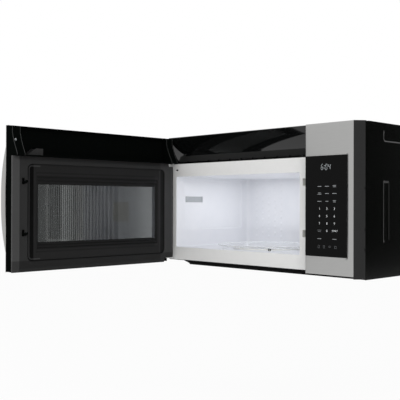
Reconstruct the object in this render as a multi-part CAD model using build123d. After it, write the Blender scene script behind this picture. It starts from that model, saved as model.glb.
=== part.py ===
from build123d import *
from math import cos, radians, sin
import os

# Over-the-range microwave oven with its door standing open at a right angle.
# Every piece is drawn from the left front bottom corner of the closed oven:
# X runs to the right, Y from the front face to the wall, Z up, all in millimetres.
# seat() then moves the origin to the middle of the base, and door pieces, which are
# drawn closed, are turned about the hinge pins first.

# ---- driving dimensions -------------------------------------------------------------
WIDTH = 759.0            # 30 inch class
HEIGHT = 407.0
DEPTH = 392.0            # front of the control panel to the wall
SHEET = 1.2              # steel sheet of the case
OPEN_ANGLE = 90.0        # the door as drawn

FRAME_Y = 36.0           # front face of the oven's front frame
FRAME_LOW = 12.0
FRAME_TOP = 322.0

CAVITY_LEFT = 34.0
CAVITY_RIGHT = 540.0
CAVITY_FLOOR = 52.0
CAVITY_TOP = 281.0
CAVITY_BACK = 385.0
LINER = 1.0              # wall of the cavity

TRAY_X = 287.0           # middle of the turntable
TRAY_Y = 211.0
TRACK_DROP = 3.0         # depth of the roller track in the floor
TRACK_R = 150.0
ROLLER_R = 5.0           # half the gap between track and tray
ROLLER_PLAY = 0.3        # the wheels are this much smaller
ROLLER_PATH = 122.0      # middle of the rollers to the middle of the oven
TRAY_R = 168.0

PANEL_LEFT = 587.0
PANEL_RIGHT = 739.0
PANEL_LOW = 7.7
CHAMFER_DEPTH = 23.0     # the plastic corner strips slant this far back
CHAMFER_WIDTH = WIDTH - PANEL_RIGHT
GLASS_LOW = 55.0
GLASS_TOP = 321.0
GLASS_RIGHT = 720.0

DOOR_LEFT = 2.0
DOOR_RIGHT = 585.5
DOOR_LOW = 5.0
DOOR_TOP = 405.0
DOOR_SPLIT = 323.0       # above it the door is a hollow tray in front of the vent
DOOR_T = 34.0            # door thickness up to its inner cover
DOOR_CORNER = 12.0       # bevel of the strip at the hinge end
SKIN = 0.8               # stainless skin of door and panel
PIN_X = 13.0             # hinge axis
PIN_Y = 14.5
PIN_R = 2.5

WINDOW = (75.0, 504.0, 85.0, 246.0)      # clear window: left, right, low, top
HOOK_X = 555.0
HOOK_ZS = (110.0, 252.0)
SPRING_LOW = HOOK_ZS[1] + 10
SPRING_TOP = SPRING_LOW + 24

HANDLE_X = 572.0
HANDLE_WIDE = 20.0
HANDLE_LOW = 46.0
HANDLE_TOP = 361.0
HANDLE_BOW = 36.0
HANDLE_GAP = 24.0
HANDLE_FOOT = 20.0

BLOWER_Y = 330.0
BLOWER_Z = 344.0
BLOWER_R = 54.0
DUCT_FLOOR = CAVITY_TOP + LINER          # top of the cavity carries the air duct

FAN_X = 650.0
FAN_Z = 235.0
FAN_R = 46.0

FILTER_SIZE = (194.0, 127.0, 8.0)
FILTER_PLACES = ((90.0, 240.0), (475.0, 240.0))
FILTER_SLIDE = 8.0
LENS_PLACES = ((200.0, 70.0), (440.0, 70.0))
LENS_SIZE = (90.0, 56.0, 3.0)


# ---- small drawing helpers ----------------------------------------------------------
def rect(x0, x1, y0, y1, radius=0.0):
    """Rectangle between two corners, with rounded corners if a radius is given."""
    if radius > 0:
        return Pos((x0 + x1) / 2, (y0 + y1) / 2) * RectangleRounded(x1 - x0, y1 - y0, radius)
    return Pos((x0 + x1) / 2, (y0 + y1) / 2) * Rectangle(x1 - x0, y1 - y0)


def outline(*points):
    """Closed face through the points."""
    return make_face(Polyline(*points, close=True))


def upright(sketch, y0, y1):
    """Sketch drawn in X and Z, thickened from y0 to y1."""
    return Pos(0, y1, 0) * extrude(Plane.XZ * sketch, y1 - y0)


def sideways(sketch, x0, x1):
    """Sketch drawn in Y and Z, thickened from x0 to x1."""
    return Pos(x0, 0, 0) * extrude(Plane.YZ * sketch, x1 - x0)


def flat(sketch, z0, z1):
    """Sketch drawn in X and Y, thickened from z0 to z1."""
    return Pos(0, 0, z0) * extrude(sketch, z1 - z0)


def block(x0, x1, y0, y1, z0, z1):
    """Plain block between two corners."""
    return flat(rect(x0, x1, y0, y1), z0, z1)


def rod(radius, start, direction, length, sides=0):
    """Rod from a start point along +X, +Y or +Z: round, or with flat sides if their number is given."""
    turn = {"x": Rot(0, 90, 0), "y": Rot(-90, 0, 0), "z": Rot(0, 0, 0)}[direction]
    end = RegularPolygon(radius, sides) if sides else Circle(radius)
    return Pos(*start) * turn * extrude(end, length)


def seat(solid):
    """Move the origin from the corner to the middle of the base."""
    return Pos(-WIDTH / 2, -DEPTH / 2, 0) * solid


def swing(solid):
    """Turn a door piece from closed to its open position and seat it."""
    turned = Pos(PIN_X, PIN_Y, 0) * Rot(0, 0, -OPEN_ANGLE) * Pos(-PIN_X, -PIN_Y, 0) * solid
    return seat(turned)


# ---- case ---------------------------------------------------------------------------
CORNER_X = 105.0         # the left front bottom corner of the case is cut back
CORNER_Y = 145.0
BEAD_Y0 = 111.0          # first bead line on the case sides
BEAD_Y1 = 138.5
BEAD_DROP = 1.6


def side_sheet(front, cut_corner):
    """Case side with its two pressed panels, drawn as the right hand side."""
    inner = WIDTH - SHEET
    sheet = block(inner, WIDTH, front, DEPTH, 0, HEIGHT - SHEET)
    slot = rect(BEAD_Y0, BEAD_Y1, 86.0, 257.0, 8.0)
    panel = rect(BEAD_Y0, DEPTH - 30, 359.0, 390.0, 8.0)
    for shape in (slot, panel):
        back = offset(shape, 1.5)
        sheet += sideways(back, inner - BEAD_DROP, inner)
        sheet -= sideways(shape, WIDTH - BEAD_DROP, WIDTH)
    sheet += block(inner - 12, inner, 70, DEPTH - 20, HEIGHT - 2 * SHEET, HEIGHT - SHEET)
    if cut_corner:
        sheet -= block(inner - 1, WIDTH, 0, CORNER_Y, 0, FRAME_LOW)
    return sheet


def case_right_side():
    return side_sheet(CHAMFER_DEPTH, False)


def case_left_side():
    """Left side, cut back where the end of the door's tray comes past it."""
    sheet = mirror(side_sheet(FRAME_Y, True), about=Plane.YZ.offset(WIDTH / 2))
    return sheet - sideways(offset(tray_side(), 1.5), -1, SHEET + 1)


BOLT_PLACES = ((70.0, 78.0), (WIDTH - 70.0, 78.0))
CORD_X, CORD_Y, CORD_R = 690.0, 340.0, 13.0
DUCT_X0, DUCT_X1 = 253.0, 507.0
DUCT_Y0, DUCT_Y1 = 274.0, 357.0


def case_top():
    """Top cover with the exhaust opening, two bolt holes and the cord hole."""
    cover = rect(0, WIDTH, 38, DEPTH) - rect(DUCT_X0, DUCT_X1, DUCT_Y0, DUCT_Y1, 3)
    for x, y in BOLT_PLACES:
        cover -= Pos(x, y) * Circle(4.0)
    cover -= Pos(CORD_X, CORD_Y) * Circle(CORD_R)
    return flat(cover, HEIGHT - SHEET, HEIGHT)


NUT_LENGTH = 12.0
NUT_BORE = 3.2


def top_brace():
    """Channel under the cover with the two weld nuts that take the hanging bolts."""
    top = HEIGHT - SHEET
    y0, y1 = 66.0, 90.0
    channel = outline((y0, top - 14), (y0, top), (y1, top), (y1, top - 14), (y1 - SHEET, top - 14),
                      (y1 - SHEET, top - SHEET), (y0 + SHEET, top - SHEET), (y0 + SHEET, top - 14))
    brace = sideways(channel, SHEET + 12.2, WIDTH - SHEET - 12.2)
    for x, y in BOLT_PLACES:
        brace += flat(Pos(x, y) * RegularPolygon(8.0, 6), top - NUT_LENGTH, top)
        brace -= rod(NUT_BORE, (x, y, top - NUT_LENGTH), "z", NUT_LENGTH)
    return brace


def cord_grommet():
    """Plastic bush in the cord hole of the top cover."""
    top = HEIGHT
    ring = Pos(CORD_X, CORD_Y) * (Circle(CORD_R) - Circle(8.0))
    collar = Pos(CORD_X, CORD_Y) * (Circle(CORD_R + 3) - Circle(8.0))
    return flat(ring, top - SHEET, top) + flat(collar, top - 5, top - SHEET)


HOOK_SLOTS = (115.0, 644.0)      # middles of the wall bracket slots
SLOT_Z = 25.0
SLOT_WIDTH = 30.0
SLOT_HEIGHT = 6.0


def back_panel():
    """Rear sheet with wall bracket slots and the cooling fan's air slots."""
    sheet = rect(SHEET, WIDTH - SHEET, 0, HEIGHT - SHEET)
    for x in HOOK_SLOTS:
        sheet -= Pos(x, SLOT_Z) * SlotOverall(SLOT_WIDTH, SLOT_HEIGHT)
    slot = outline((-27, 0), (-24.5, -2.5), (24.5, -2.5), (27, 0), (24.5, 2.5), (-24.5, 2.5))
    for row in range(7):
        sheet -= Pos(FAN_X, FAN_Z - 36 + 12 * row) * slot
    return upright(sheet, DEPTH - SHEET, DEPTH)


PAN_LIP = 12.0
PAN_FRONT = 29.0         # the pan reaches this far forward, under the closed door
PAN_STEP = 4.4


def base_pan():
    """Painted bottom pan: lip all round, two filter openings, two lamp openings."""
    x0, x1, y0, y1 = SHEET, WIDTH - SHEET, PAN_FRONT, DEPTH - SHEET
    shape = outline((CORNER_X, y0), (x1, y0), (x1, y1), (x0, y1), (x0, CORNER_Y))
    inside = offset(shape, -SHEET, kind=Kind.INTERSECTION)
    pan = flat(shape, 0, PAN_LIP) - flat(inside, SHEET, PAN_LIP)
    pan -= block(0, PANEL_LEFT - 1, 0, FRAME_Y, PAN_STEP, PAN_LIP)
    pan += flat(shape & rect(0, PANEL_LEFT - 1, y0, FRAME_Y + SHEET), PAN_STEP - SHEET, PAN_STEP)
    riser = outline((x0, PAN_LIP), (PANEL_LEFT - 1, PAN_LIP), (PANEL_LEFT - 1, 0), (CORNER_X, 0),
                    (CORNER_X - 34, PAN_LIP - 1.6), (x0, PAN_LIP - 1.6))
    pan += upright(riser, FRAME_Y, FRAME_Y + SHEET)
    pan -= block(PANEL_LEFT - 1, PANEL_RIGHT, 0, FRAME_Y + 1, PANEL_LOW - 1.2, PAN_LIP)
    pan -= block(PANEL_RIGHT - 0.5, WIDTH, 0, FRAME_Y + 1, SHEET, PAN_LIP)
    fx, fy, _ = FILTER_SIZE
    for x, y in FILTER_PLACES:
        pan -= block(x + 8, x + fx - 8, y + 8, y + fy - 8, 0, SHEET)
        rail = fx + FILTER_SLIDE
        pan += block(x, x + rail, y - 2.4, y - 0.6, SHEET, 6)
        pan += block(x, x + rail, y + fy + 0.6, y + fy + 2.4, SHEET, 6)
    lx, ly, _ = LENS_SIZE
    for x, y in LENS_PLACES:
        pan -= flat(rect(x + 5, x + lx - 5, y + 5, y + ly - 5, 6), 0, SHEET)
    return pan


def base_rails():
    """Two channels that carry the cavity on the pan, notched below the roller track."""
    rails = []
    low, top = SHEET, CAVITY_FLOOR - LINER
    for y in (150.0, 206.0 + 170.0):
        web = outline((y, low), (y + 12, low), (y + 12, low + SHEET), (y + SHEET, low + SHEET),
                      (y + SHEET, top - SHEET), (y + 12, top - SHEET), (y + 12, top), (y, top))
        rail = sideways(web, 40, CAVITY_RIGHT - 10)
        rails.append(rail - rod(TRACK_R + LINER + 0.5, (TRAY_X, TRAY_Y, TRACK_Z - LINER), "z", 10))
    return Compound(children=rails)


# ---- front frame and cavity ---------------------------------------------------------
TONGUE_X0, TONGUE_X1 = 5.0, 21.0
TONGUES = (15.0, 316.0)          # undersides of the two hinge tongues
TONGUE_T = 3.0


def front_frame():
    """Painted steel face of the oven: cavity opening, hinge and latch slots."""
    face = rect(SHEET, WIDTH - SHEET, FRAME_LOW, FRAME_TOP)
    face -= rect(CAVITY_LEFT, CAVITY_RIGHT, CAVITY_FLOOR, CAVITY_TOP, 5)
    face -= rect(640, 700, 150, 230, 4)
    for z in TONGUES:
        face -= rect(TONGUE_X0 - 1, TONGUE_X1 + 1, z - 1, z + TONGUE_T + 1)
    face -= Pos(35.5, 302) * SlotOverall(15.0, 5.0)
    for z in HOOK_ZS:
        face -= rect(HOOK_X - 5, HOOK_X + 5, z - 8, z + 12, 1.5)
    frame = upright(face, FRAME_Y, FRAME_Y + SHEET)
    frame += block(SHEET, WIDTH - SHEET, FRAME_Y + SHEET, 76, FRAME_TOP - SHEET, FRAME_TOP)
    frame += block(CORNER_X, WIDTH - SHEET, FRAME_Y + SHEET, 46, FRAME_LOW, FRAME_LOW + SHEET)
    return frame


def cavity_liner():
    """Five walls round the oven space, with the pressed side panel and roller track."""
    y0 = FRAME_Y + SHEET
    x0, x1, z0, z1 = CAVITY_LEFT, CAVITY_RIGHT, CAVITY_FLOOR, CAVITY_TOP
    outer = flat(rect(x0 - LINER, x1 + LINER, y0, CAVITY_BACK + LINER), z0 - LINER, z1 + LINER)
    hollow = flat(rect(x0, x1, y0, CAVITY_BACK), z0, z1)
    hollow = fillet(hollow.edges().filter_by(Axis.Z).sort_by(Axis.Y)[-2:], 12)
    liner = outer - hollow
    track = Pos(TRAY_X, TRAY_Y) * Circle(TRACK_R)
    liner += flat(offset(track, LINER), z0 - LINER - TRACK_DROP, z0 - LINER)
    liner -= flat(track, z0 - TRACK_DROP, z0)
    liner -= rod(7.0, (TRAY_X, TRAY_Y, z0 - 10), "z", 20)
    panel = rect(66, 350, 108, 270, 10)
    liner += sideways(offset(panel, 1.0), x0 - LINER - 2, x0 - LINER)
    liner -= sideways(panel, x0 - 2, x0)
    liner -= block(x1 - 2, x1 + 2, 190, 250, 130, 190)
    for row in range(3):
        for column in range(3):
            spot = (x1 - 2, 84 + 8 * column, 244 + 8 * row)
            liner -= rod(2.4, spot, "x", 4, sides=6)
    return liner


def waveguide_cover():
    """Mica sheet over the mouth of the waveguide, inside the cavity."""
    return block(CAVITY_RIGHT - 1.4, CAVITY_RIGHT, 182, 258, 122, 198)


# ---- hinges -------------------------------------------------------------------------
PIN_LENGTH = 22.0


def hinge_bracket(z, flange_low, flange_top, pin_end):
    """Steel tongue through the frame, the flange riveted behind it and the riveted pin."""
    y0 = FRAME_Y + SHEET
    half = 4.6
    nose = Pos(PIN_X, PIN_Y) * Circle(half)
    body = outline((PIN_X - half, PIN_Y), (PIN_X + half, PIN_Y), (PIN_X + half, 29), (TONGUE_X1, 33),
                   (TONGUE_X1, y0 + 2.5), (TONGUE_X0, y0 + 2.5), (TONGUE_X0, 33), (PIN_X - half, 29))
    bracket = flat(nose + body, z, z + TONGUE_T) + block(4, 30, y0, y0 + 2.5, flange_low, flange_top)
    low, high = sorted((z + TONGUE_T / 2, pin_end))
    return bracket + rod(PIN_R, (PIN_X, PIN_Y, low), "z", high - low)


def hinge_bracket_top():
    """The upper pin hangs down into the door."""
    z = TONGUES[1]
    return hinge_bracket(z, 280, z + TONGUE_T, z - PIN_LENGTH)


def hinge_bracket_bottom():
    """The lower pin stands up and carries the door."""
    z = TONGUES[0]
    return hinge_bracket(z, z, 50, z + TONGUE_T + PIN_LENGTH)


# ---- vent ---------------------------------------------------------------------------
VENT_Y = 35.0            # face of the fascia at its top
VENT_CREASE = (36.0, 386.0)      # nearly upright down to here, then a hollow arc
VENT_ARC = 160.0
VENT_LEAN = (21.0, 45.0)         # slope below the crease and at the foot, from upright
VENT_FOOT = 330.0        # lower edge of the fascia, above the air slot
VENT_WALL = 2.5


def vent_fascia():
    """Glossy moulded fascia under the top cover, with ribs in the air slot below it."""
    roof = HEIGHT - SHEET
    crease_y, crease_z = VENT_CREASE
    lean, foot = VENT_LEAN
    middle = (crease_y + VENT_ARC * cos(radians(lean)), crease_z + VENT_ARC * sin(radians(lean)))
    front = CenterArc(middle, VENT_ARC, 180 + lean, foot - lean)
    back = CenterArc(middle, VENT_ARC - VENT_WALL, 180 + lean, foot - lean)
    top = Polyline(back @ 0, (crease_y + VENT_WALL, crease_z + 3), (VENT_Y + VENT_WALL, roof - VENT_WALL),
                   (62, roof - VENT_WALL), (62, roof), (38, roof), (38, HEIGHT), (VENT_Y, HEIGHT), front @ 0)
    section = make_face(front + back + top + Line(front @ 1, back @ 1))
    shell = sideways(section, 4, PANEL_LEFT - 1)
    rib = outline((70.5, FRAME_TOP), (74, FRAME_TOP), (73.6, VENT_FOOT + 2), (72.3, VENT_FOOT + 1))
    for number in range(13):
        x = 10 + number * 47.0
        shell += sideways(rib, x, x + 2.5)
    return shell


def charcoal_filter():
    """Odour filter: a framed slab behind the fascia."""
    x0, x1, y0, y1 = 120.0, 560.0, 96.0, 114.0
    low, top = DUCT_FLOOR + SHEET, 388.0
    slab = upright(rect(x0, x1, low, top), y0, y1)
    for number in range(11):
        x = x0 + 12 + number * 38.0
        slab -= upright(rect(x, x + 32, low + 10, top - 10), y0, y0 + 3)
    return slab


def air_duct_plate():
    """Sheet on top of the cavity that forms the floor of the vent space."""
    plate = rect(SHEET, WIDTH - SHEET, 40, DEPTH - SHEET)
    plate -= rect(5, 30, 110, 370, 4)
    plate -= rect(590, 710, 334, DEPTH)
    return flat(plate, DUCT_FLOOR, DUCT_FLOOR + SHEET)


BLOWER_HOUSING_X = ((256.0, 351.0), (409.0, 504.0))
BLOWER_MOTOR_X = (355.0, 405.0)
WHEEL_R = 42.0


def scroll_housing(x0, x1):
    """Scroll with an inlet hole at each end, an outlet at the top and two feet."""
    top = HEIGHT - SHEET
    y0, y1 = BLOWER_Y - BLOWER_R, BLOWER_Y + 24
    scroll = Pos(BLOWER_Y, BLOWER_Z) * Circle(BLOWER_R) + rect(y0, y1, BLOWER_Z, top)
    inside = Pos(BLOWER_Y, BLOWER_Z) * Circle(BLOWER_R - 1.6) + rect(y0 + 1.6, y1 - 1.6, BLOWER_Z, top)
    shell = sideways(scroll, x0, x1) - sideways(inside, x0 + 1.6, x1 - 1.6)
    shell -= rod(34.0, (x0, BLOWER_Y, BLOWER_Z), "x", x1 - x0)
    feet = outline((BLOWER_Y - 30, DUCT_FLOOR + SHEET), (BLOWER_Y + 30, DUCT_FLOOR + SHEET),
                   (BLOWER_Y + 30, BLOWER_Z - 42), (BLOWER_Y - 30, BLOWER_Z - 42))
    feet -= Pos(BLOWER_Y, BLOWER_Z) * Circle(BLOWER_R - 1)
    return shell + sideways(feet, x0, x0 + 8) + sideways(feet, x1 - 8, x1)


def blower_motor():
    """Round motor between the two scrolls, on its bracket."""
    x0, x1 = BLOWER_MOTOR_X
    motor = rod(38.0, (x0 + 4, BLOWER_Y, BLOWER_Z), "x", x1 - x0 - 8)
    motor = chamfer(motor.edges(), 4)
    bracket = outline((BLOWER_Y - 34, DUCT_FLOOR + SHEET), (BLOWER_Y + 34, DUCT_FLOOR + SHEET),
                      (BLOWER_Y + 24, BLOWER_Z), (BLOWER_Y - 24, BLOWER_Z))
    motor += sideways(bracket, x0 + 18, x1 - 18)
    return motor - rod(4.05, (x0, BLOWER_Y, BLOWER_Z), "x", x1 - x0)


def blower_shaft():
    return rod(4.0, (262, BLOWER_Y, BLOWER_Z), "x", 236)


BLADES = 14


def squirrel_cage(x0, x1):
    """Hub disc in the middle, slanted blades and a ring at each end, pressed in flats."""
    middle = (x0 + x1) / 2
    axis = Pos(BLOWER_Y, BLOWER_Z)
    blade = Pos(WHEEL_R - 4, 0) * Rot(0, 0, 28) * Rectangle(9.0, 1.2)
    cage = Sketch() + [axis * Rot(0, 0, 360 / BLADES * n) * blade for n in range(BLADES)]
    wheel = sideways(cage, x0, x1)
    ring = axis * (RegularPolygon(WHEEL_R, 2 * BLADES) - RegularPolygon(WHEEL_R - 8, 2 * BLADES))
    for x in (x0, x1 - 2):
        wheel += sideways(ring, x, x + 2)
    wheel += sideways(axis * RegularPolygon(WHEEL_R, 2 * BLADES), middle - 1, middle + 1)
    wheel += rod(8.0, (middle - 12, BLOWER_Y, BLOWER_Z), "x", 24, sides=12)
    return wheel - rod(4.0, (x0 - 1, BLOWER_Y, BLOWER_Z), "x", x1 - x0 + 2)


def blower_housings():
    """The two scrolls, one solid each."""
    return Compound(children=[scroll_housing(x0, x1) for x0, x1 in BLOWER_HOUSING_X])


def blower_wheels():
    """The two wheels, one solid each."""
    return Compound(children=[squirrel_cage(x0 + 5, x1 - 5) for x0, x1 in BLOWER_HOUSING_X])


# ---- turntable ----------------------------------------------------------------------
TRACK_Z = CAVITY_FLOOR - TRACK_DROP
TRAY_LOW = TRACK_Z + 2 * ROLLER_R


def turntable_motor():
    """Flat synchronous motor under the cavity floor."""
    top = TRACK_Z - LINER
    body = flat(Pos(TRAY_X, TRAY_Y) * Circle(25.0), top - 16, top - 1)
    ears = Pos(TRAY_X, TRAY_Y) * SlotOverall(68.0, 14.0)
    for side in (-27.0, 27.0):
        ears -= Pos(TRAY_X + side, TRAY_Y) * RegularPolygon(2.3, 8)
    body += flat(ears, top - 1, top)
    return body - rod(3.55, (TRAY_X, TRAY_Y, top - 12), "z", 14)


def drive_coupler():
    """Shaft and three lobed coupler that drives the glass tray."""
    hub = rod(3.5, (TRAY_X, TRAY_Y, TRACK_Z - 11), "z", 12)
    hub += rod(9.0, (TRAY_X, TRAY_Y, TRACK_Z + 1), "z", 9.0)
    lobe = Pos(13, 0) * SlotOverall(26.0, 8.0)
    star = Sketch() + [Rot(0, 0, 120 * n) * lobe for n in range(3)]
    return hub + flat(Pos(TRAY_X, TRAY_Y) * star, TRACK_Z + 3, TRAY_LOW)


ROLLER_ANGLES = (-51.0, 69.0, 189.0)
HOOP_R = 114.0
AXLE_R = 1.5


def roller_ring():
    """Plastic hoop with three stub axles pointing outwards."""
    z = TRACK_Z + ROLLER_R
    hoop = flat(Pos(TRAY_X, TRAY_Y) * (Circle(HOOP_R + 2.5) - Circle(HOOP_R - 2.5)), z - 2, z + 2)
    for angle in ROLLER_ANGLES:
        stub = Pos(TRAY_X, TRAY_Y, z) * Rot(0, 0, angle) * rod(AXLE_R, (HOOP_R, 0, 0), "x", 12.5)
        hoop += stub
    return hoop


def tray_roller(angle):
    """Small plain wheel on one of the stub axles."""
    width = 7.0
    start = (ROLLER_PATH - width / 2, 0, 0)
    wheel = rod(ROLLER_R - ROLLER_PLAY, start, "x", width)
    wheel -= rod(AXLE_R + 0.05, (ROLLER_PATH - width, 0, 0), "x", 2 * width)
    return Pos(TRAY_X, TRAY_Y, TRACK_Z + ROLLER_R) * Rot(0, 0, angle) * wheel


def glass_tray():
    """Pressed glass plate with a raised rim and three driving ribs below."""
    low = TRAY_LOW
    profile = outline((0, low), (150, low), (160, low + 1), (TRAY_R, low + 4.5), (TRAY_R, low + 6),
                      (TRAY_R - 3, low + 6), (158, low + 4.5), (150, low + 3.6), (0, low + 3.6))
    plate = revolve(Plane.XZ * profile, Axis.Z)
    rib = Pos(20, 0) * SlotOverall(12.0, 5.0)
    ribs = Sketch() + [Rot(0, 0, 60 + 120 * n) * rib for n in range(3)]
    plate += flat(ribs, low - 5, low + 1)
    return Pos(TRAY_X, TRAY_Y, 0) * plate


# ---- bottom filters and lamps ---------------------------------------------------------
def grease_filter(x, y):
    """Aluminium frame round a mesh slab, with a pull tab at its edge."""
    fx, fy, fz = FILTER_SIZE
    low = SHEET
    body = flat(rect(x, x + fx, y, y + fy), low, low + fz)
    pocket = rect(x + 9, x + fx - 9, y + 9, y + fy - 9)
    body -= flat(pocket, low, low + 1.5)
    body -= flat(pocket, low + fz - 1.5, low + fz)
    tab = Pos(x + fx / 2, y + 16) * (SlotOverall(26.0, 12.0) - SlotOverall(20.0, 6.0))
    return body + flat(tab, low, low + 1.6)


def lamp_lenses():
    """Two clear lenses that rest on the pan over the cooktop, one solid each."""
    lx, ly, lz = LENS_SIZE
    return Compound(children=[flat(rect(x, x + lx, y, y + ly, 6), SHEET, SHEET + lz) for x, y in LENS_PLACES])


def lamp_housings():
    """Two reflector boxes over the lenses, one solid each."""
    lx, ly, lz = LENS_SIZE
    low = SHEET + lz
    boxes = []
    for x, y in LENS_PLACES:
        shell = extrude(Pos(0, 0, low) * rect(x + 1, x + lx - 1, y + 1, y + ly - 1), 34, taper=12)
        inside = extrude(Pos(0, 0, low) * rect(x + 3, x + lx - 3, y + 3, y + ly - 3), 32, taper=12)
        hole = rod(6.2, (x + lx / 2, y + ly / 2, low + 25), "z", 12)
        boxes.append(shell - inside - hole)
    return Compound(children=boxes)


# ---- electrical bay -------------------------------------------------------------------
BAY_LEFT = 546.0
BAY_FLOOR = 15.2


def component_plate():
    """Steel plate on two folded legs that carries the heavy electrical parts."""
    x0, x1 = BAY_LEFT, WIDTH - SHEET - BEAD_DROP - 1
    low, top = SHEET, BAY_FLOOR
    section = outline((x0, low), (x0 + SHEET, low), (x0 + SHEET, top - SHEET), (x1 - SHEET, top - SHEET),
                      (x1 - SHEET, low), (x1, low), (x1, top), (x0, top))
    plate = upright(section, 70, 380)
    return plate - block(x0 - 1, x0 + 120, 232, 376, 0, top - SHEET)


CORE = (640.0, 730.0, 270.0, 310.0)


def transformer_core():
    """Laminated steel core with two winding windows."""
    x0, x1, y0, y1 = CORE
    core = rect(x0, x1, BAY_FLOOR, BAY_FLOOR + 76)
    for x in (x0 + 15, x1 - 35):
        core -= rect(x, x + 20, BAY_FLOOR + 14, BAY_FLOOR + 62)
    return upright(core, y0, y1)


def transformer_coils():
    """Winding round the middle leg of the core."""
    x0, x1, y0, y1 = CORE
    z0, z1 = BAY_FLOOR + 14.5, BAY_FLOOR + 61.5
    ring = rect(x0 + 15.5, x1 - 15.5, y0 - 16, y1 + 16, 8) - rect(x0 + 35, x1 - 35, y0, y1)
    return flat(ring, z0, z1)


def hv_capacitor():
    """Oval oil capacitor standing on the plate, with two blade terminals."""
    cx, cy = 610.0, 150.0
    can = flat(Pos(cx, cy) * SlotOverall(54.0, 34.0), BAY_FLOOR, BAY_FLOOR + 92)
    can = chamfer(can.edges().group_by(Axis.Z)[-1], 2)
    for side in (-12.0, 12.0):
        can += block(cx + side - 3, cx + side + 3, cy - 0.4, cy + 0.4, BAY_FLOOR + 92, BAY_FLOOR + 102)
    return can


def waveguide():
    """Box duct from the magnetron to the mouth in the cavity wall."""
    x0, x1 = CAVITY_RIGHT + LINER, CAVITY_RIGHT + LINER + 24
    y0, y1, z0, z1 = 182.0, 258.0, 122.0, 262.0
    duct = block(x0, x1, y0, y1, z0, z1)
    duct -= block(x0, x1 - SHEET, y0 + SHEET, y1 - SHEET, z0 + SHEET, z1 - SHEET)
    return duct - rod(9.0, (x1 - 4, 220, 232), "x", 8)


def magnetron():
    """Yoke, cooling fins, antenna dome and filter box of the microwave tube."""
    x0 = CAVITY_RIGHT + LINER + 24
    cy, cz = 220.0, 232.0
    yoke = block(x0, x0 + 3, cy - 40, cy + 40, cz - 30, cz + 40)
    yoke += block(x0 + 44, x0 + 47, cy - 40, cy + 40, cz - 30, cz + 40)
    for y in (cy - 40, cy + 37):
        yoke += block(x0, x0 + 47, y, y + 3, cz - 30, cz + 40)
    yoke += rod(16.0, (x0 + 2, cy, cz), "x", 43, sides=16)
    for number in range(6):
        x = x0 + 9 + 5.5 * number
        yoke += block(x, x + 1, cy - 38, cy + 38, cz - 26, cz + 30)
    yoke += rod(7.0, (x0 - 16, cy, cz), "x", 18, sides=16)
    return yoke + block(x0 + 47, x0 + 72, cy - 26, cy + 26, cz - 22, cz + 30)


def fan_housing():
    """Plate with a round mouth on four posts from the back panel."""
    half = 56.0
    plate = rect(FAN_X - half, FAN_X + half, FAN_Z - half, FAN_Z + half)
    plate -= Pos(FAN_X, FAN_Z) * Circle(FAN_R + 2)
    housing = upright(plate, 338, 340)
    housing += upright(Pos(FAN_X, FAN_Z) * (Circle(FAN_R + 4) - Circle(FAN_R + 2)), 340, 356)
    for dx in (-50.0, 50.0):
        for dz in (-50.0, 50.0):
            housing += rod(3.5, (FAN_X + dx, 340, FAN_Z + dz), "y", DEPTH - SHEET - 340, sides=6)
    return housing


def fan_motor():
    """Shaded pole motor of the cooling fan, on the back panel."""
    y0 = 364.0
    core = upright(rect(FAN_X - 30, FAN_X + 30, FAN_Z - 24, FAN_Z + 30), y0 + 6, y0 + 22)
    core += upright(Pos(FAN_X, FAN_Z) * Circle(17.0), y0, DEPTH - SHEET)
    return core - rod(1.55, (FAN_X, y0 - 1, FAN_Z), "y", 20)


def fan_blade():
    """Five bladed impeller with its spindle."""
    hub = upright(Pos(FAN_X, FAN_Z) * Circle(11.0), 343, 359)
    hub = chamfer(hub.edges().group_by(Axis.Y)[0], 2.5)
    for number in range(5):
        paddle = Box(FAN_R - 11, 1.4, 22)
        paddle = Pos((FAN_R + 7) / 2, 0, 0) * Rot(32, 0, 0) * paddle
        hub += Pos(FAN_X, 350, FAN_Z) * Rot(0, 72 * number, 0) * paddle
    return hub + rod(1.5, (FAN_X, 350, FAN_Z), "y", 30)


def cavity_lamp():
    """Bulb and holder outside the pierced patch of the cavity wall."""
    x0 = CAVITY_RIGHT + LINER
    holder = sideways(rect(74, 110, 234, 270), x0, x0 + 3) - rod(13.0, (x0, 92, 252), "x", 3, sides=24)
    holder += sideways(rect(74, 110, 234, 270) - rect(77, 107, 237, 267), x0 + 3, x0 + 26)
    holder += sideways(rect(77, 107, 237, 267), x0 + 24, x0 + 26)
    return holder + rod(7.0, (x0 + 10, 92, 252), "x", 15)


# ---- latch switches --------------------------------------------------------------------
def latch_board():
    """Plastic carrier behind the frame, open where the two door hooks come in."""
    y0 = FRAME_Y + SHEET
    low, top = 92.0, 272.0
    left, right = 545.0, 580.0
    board = block(left, right, y0, y0 + 30, low, top)
    board -= block(left + 3, right, y0 + 4, y0 + 30, 128, 236)
    for z in HOOK_ZS:
        board -= block(HOOK_X - 5, HOOK_X + 5, y0, y0 + 26, z - 8, z + 12)
    return board


SWITCH_SPOTS = (146.0, 178.0, 210.0)


def interlock_switches():
    """Three snap switches in the latch carrier, one solid each."""
    y0 = FRAME_Y + SHEET + 4
    switches = []
    for z in SWITCH_SPOTS:
        body = block(548, 576, y0, y0 + 16, z - 5, z + 5)
        body += block(552, 556, y0 + 16, y0 + 21, z - 3, z - 2)
        body += block(566, 570, y0 + 16, y0 + 21, z - 3, z - 2)
        switches.append(body)
    return Compound(children=switches)


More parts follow.
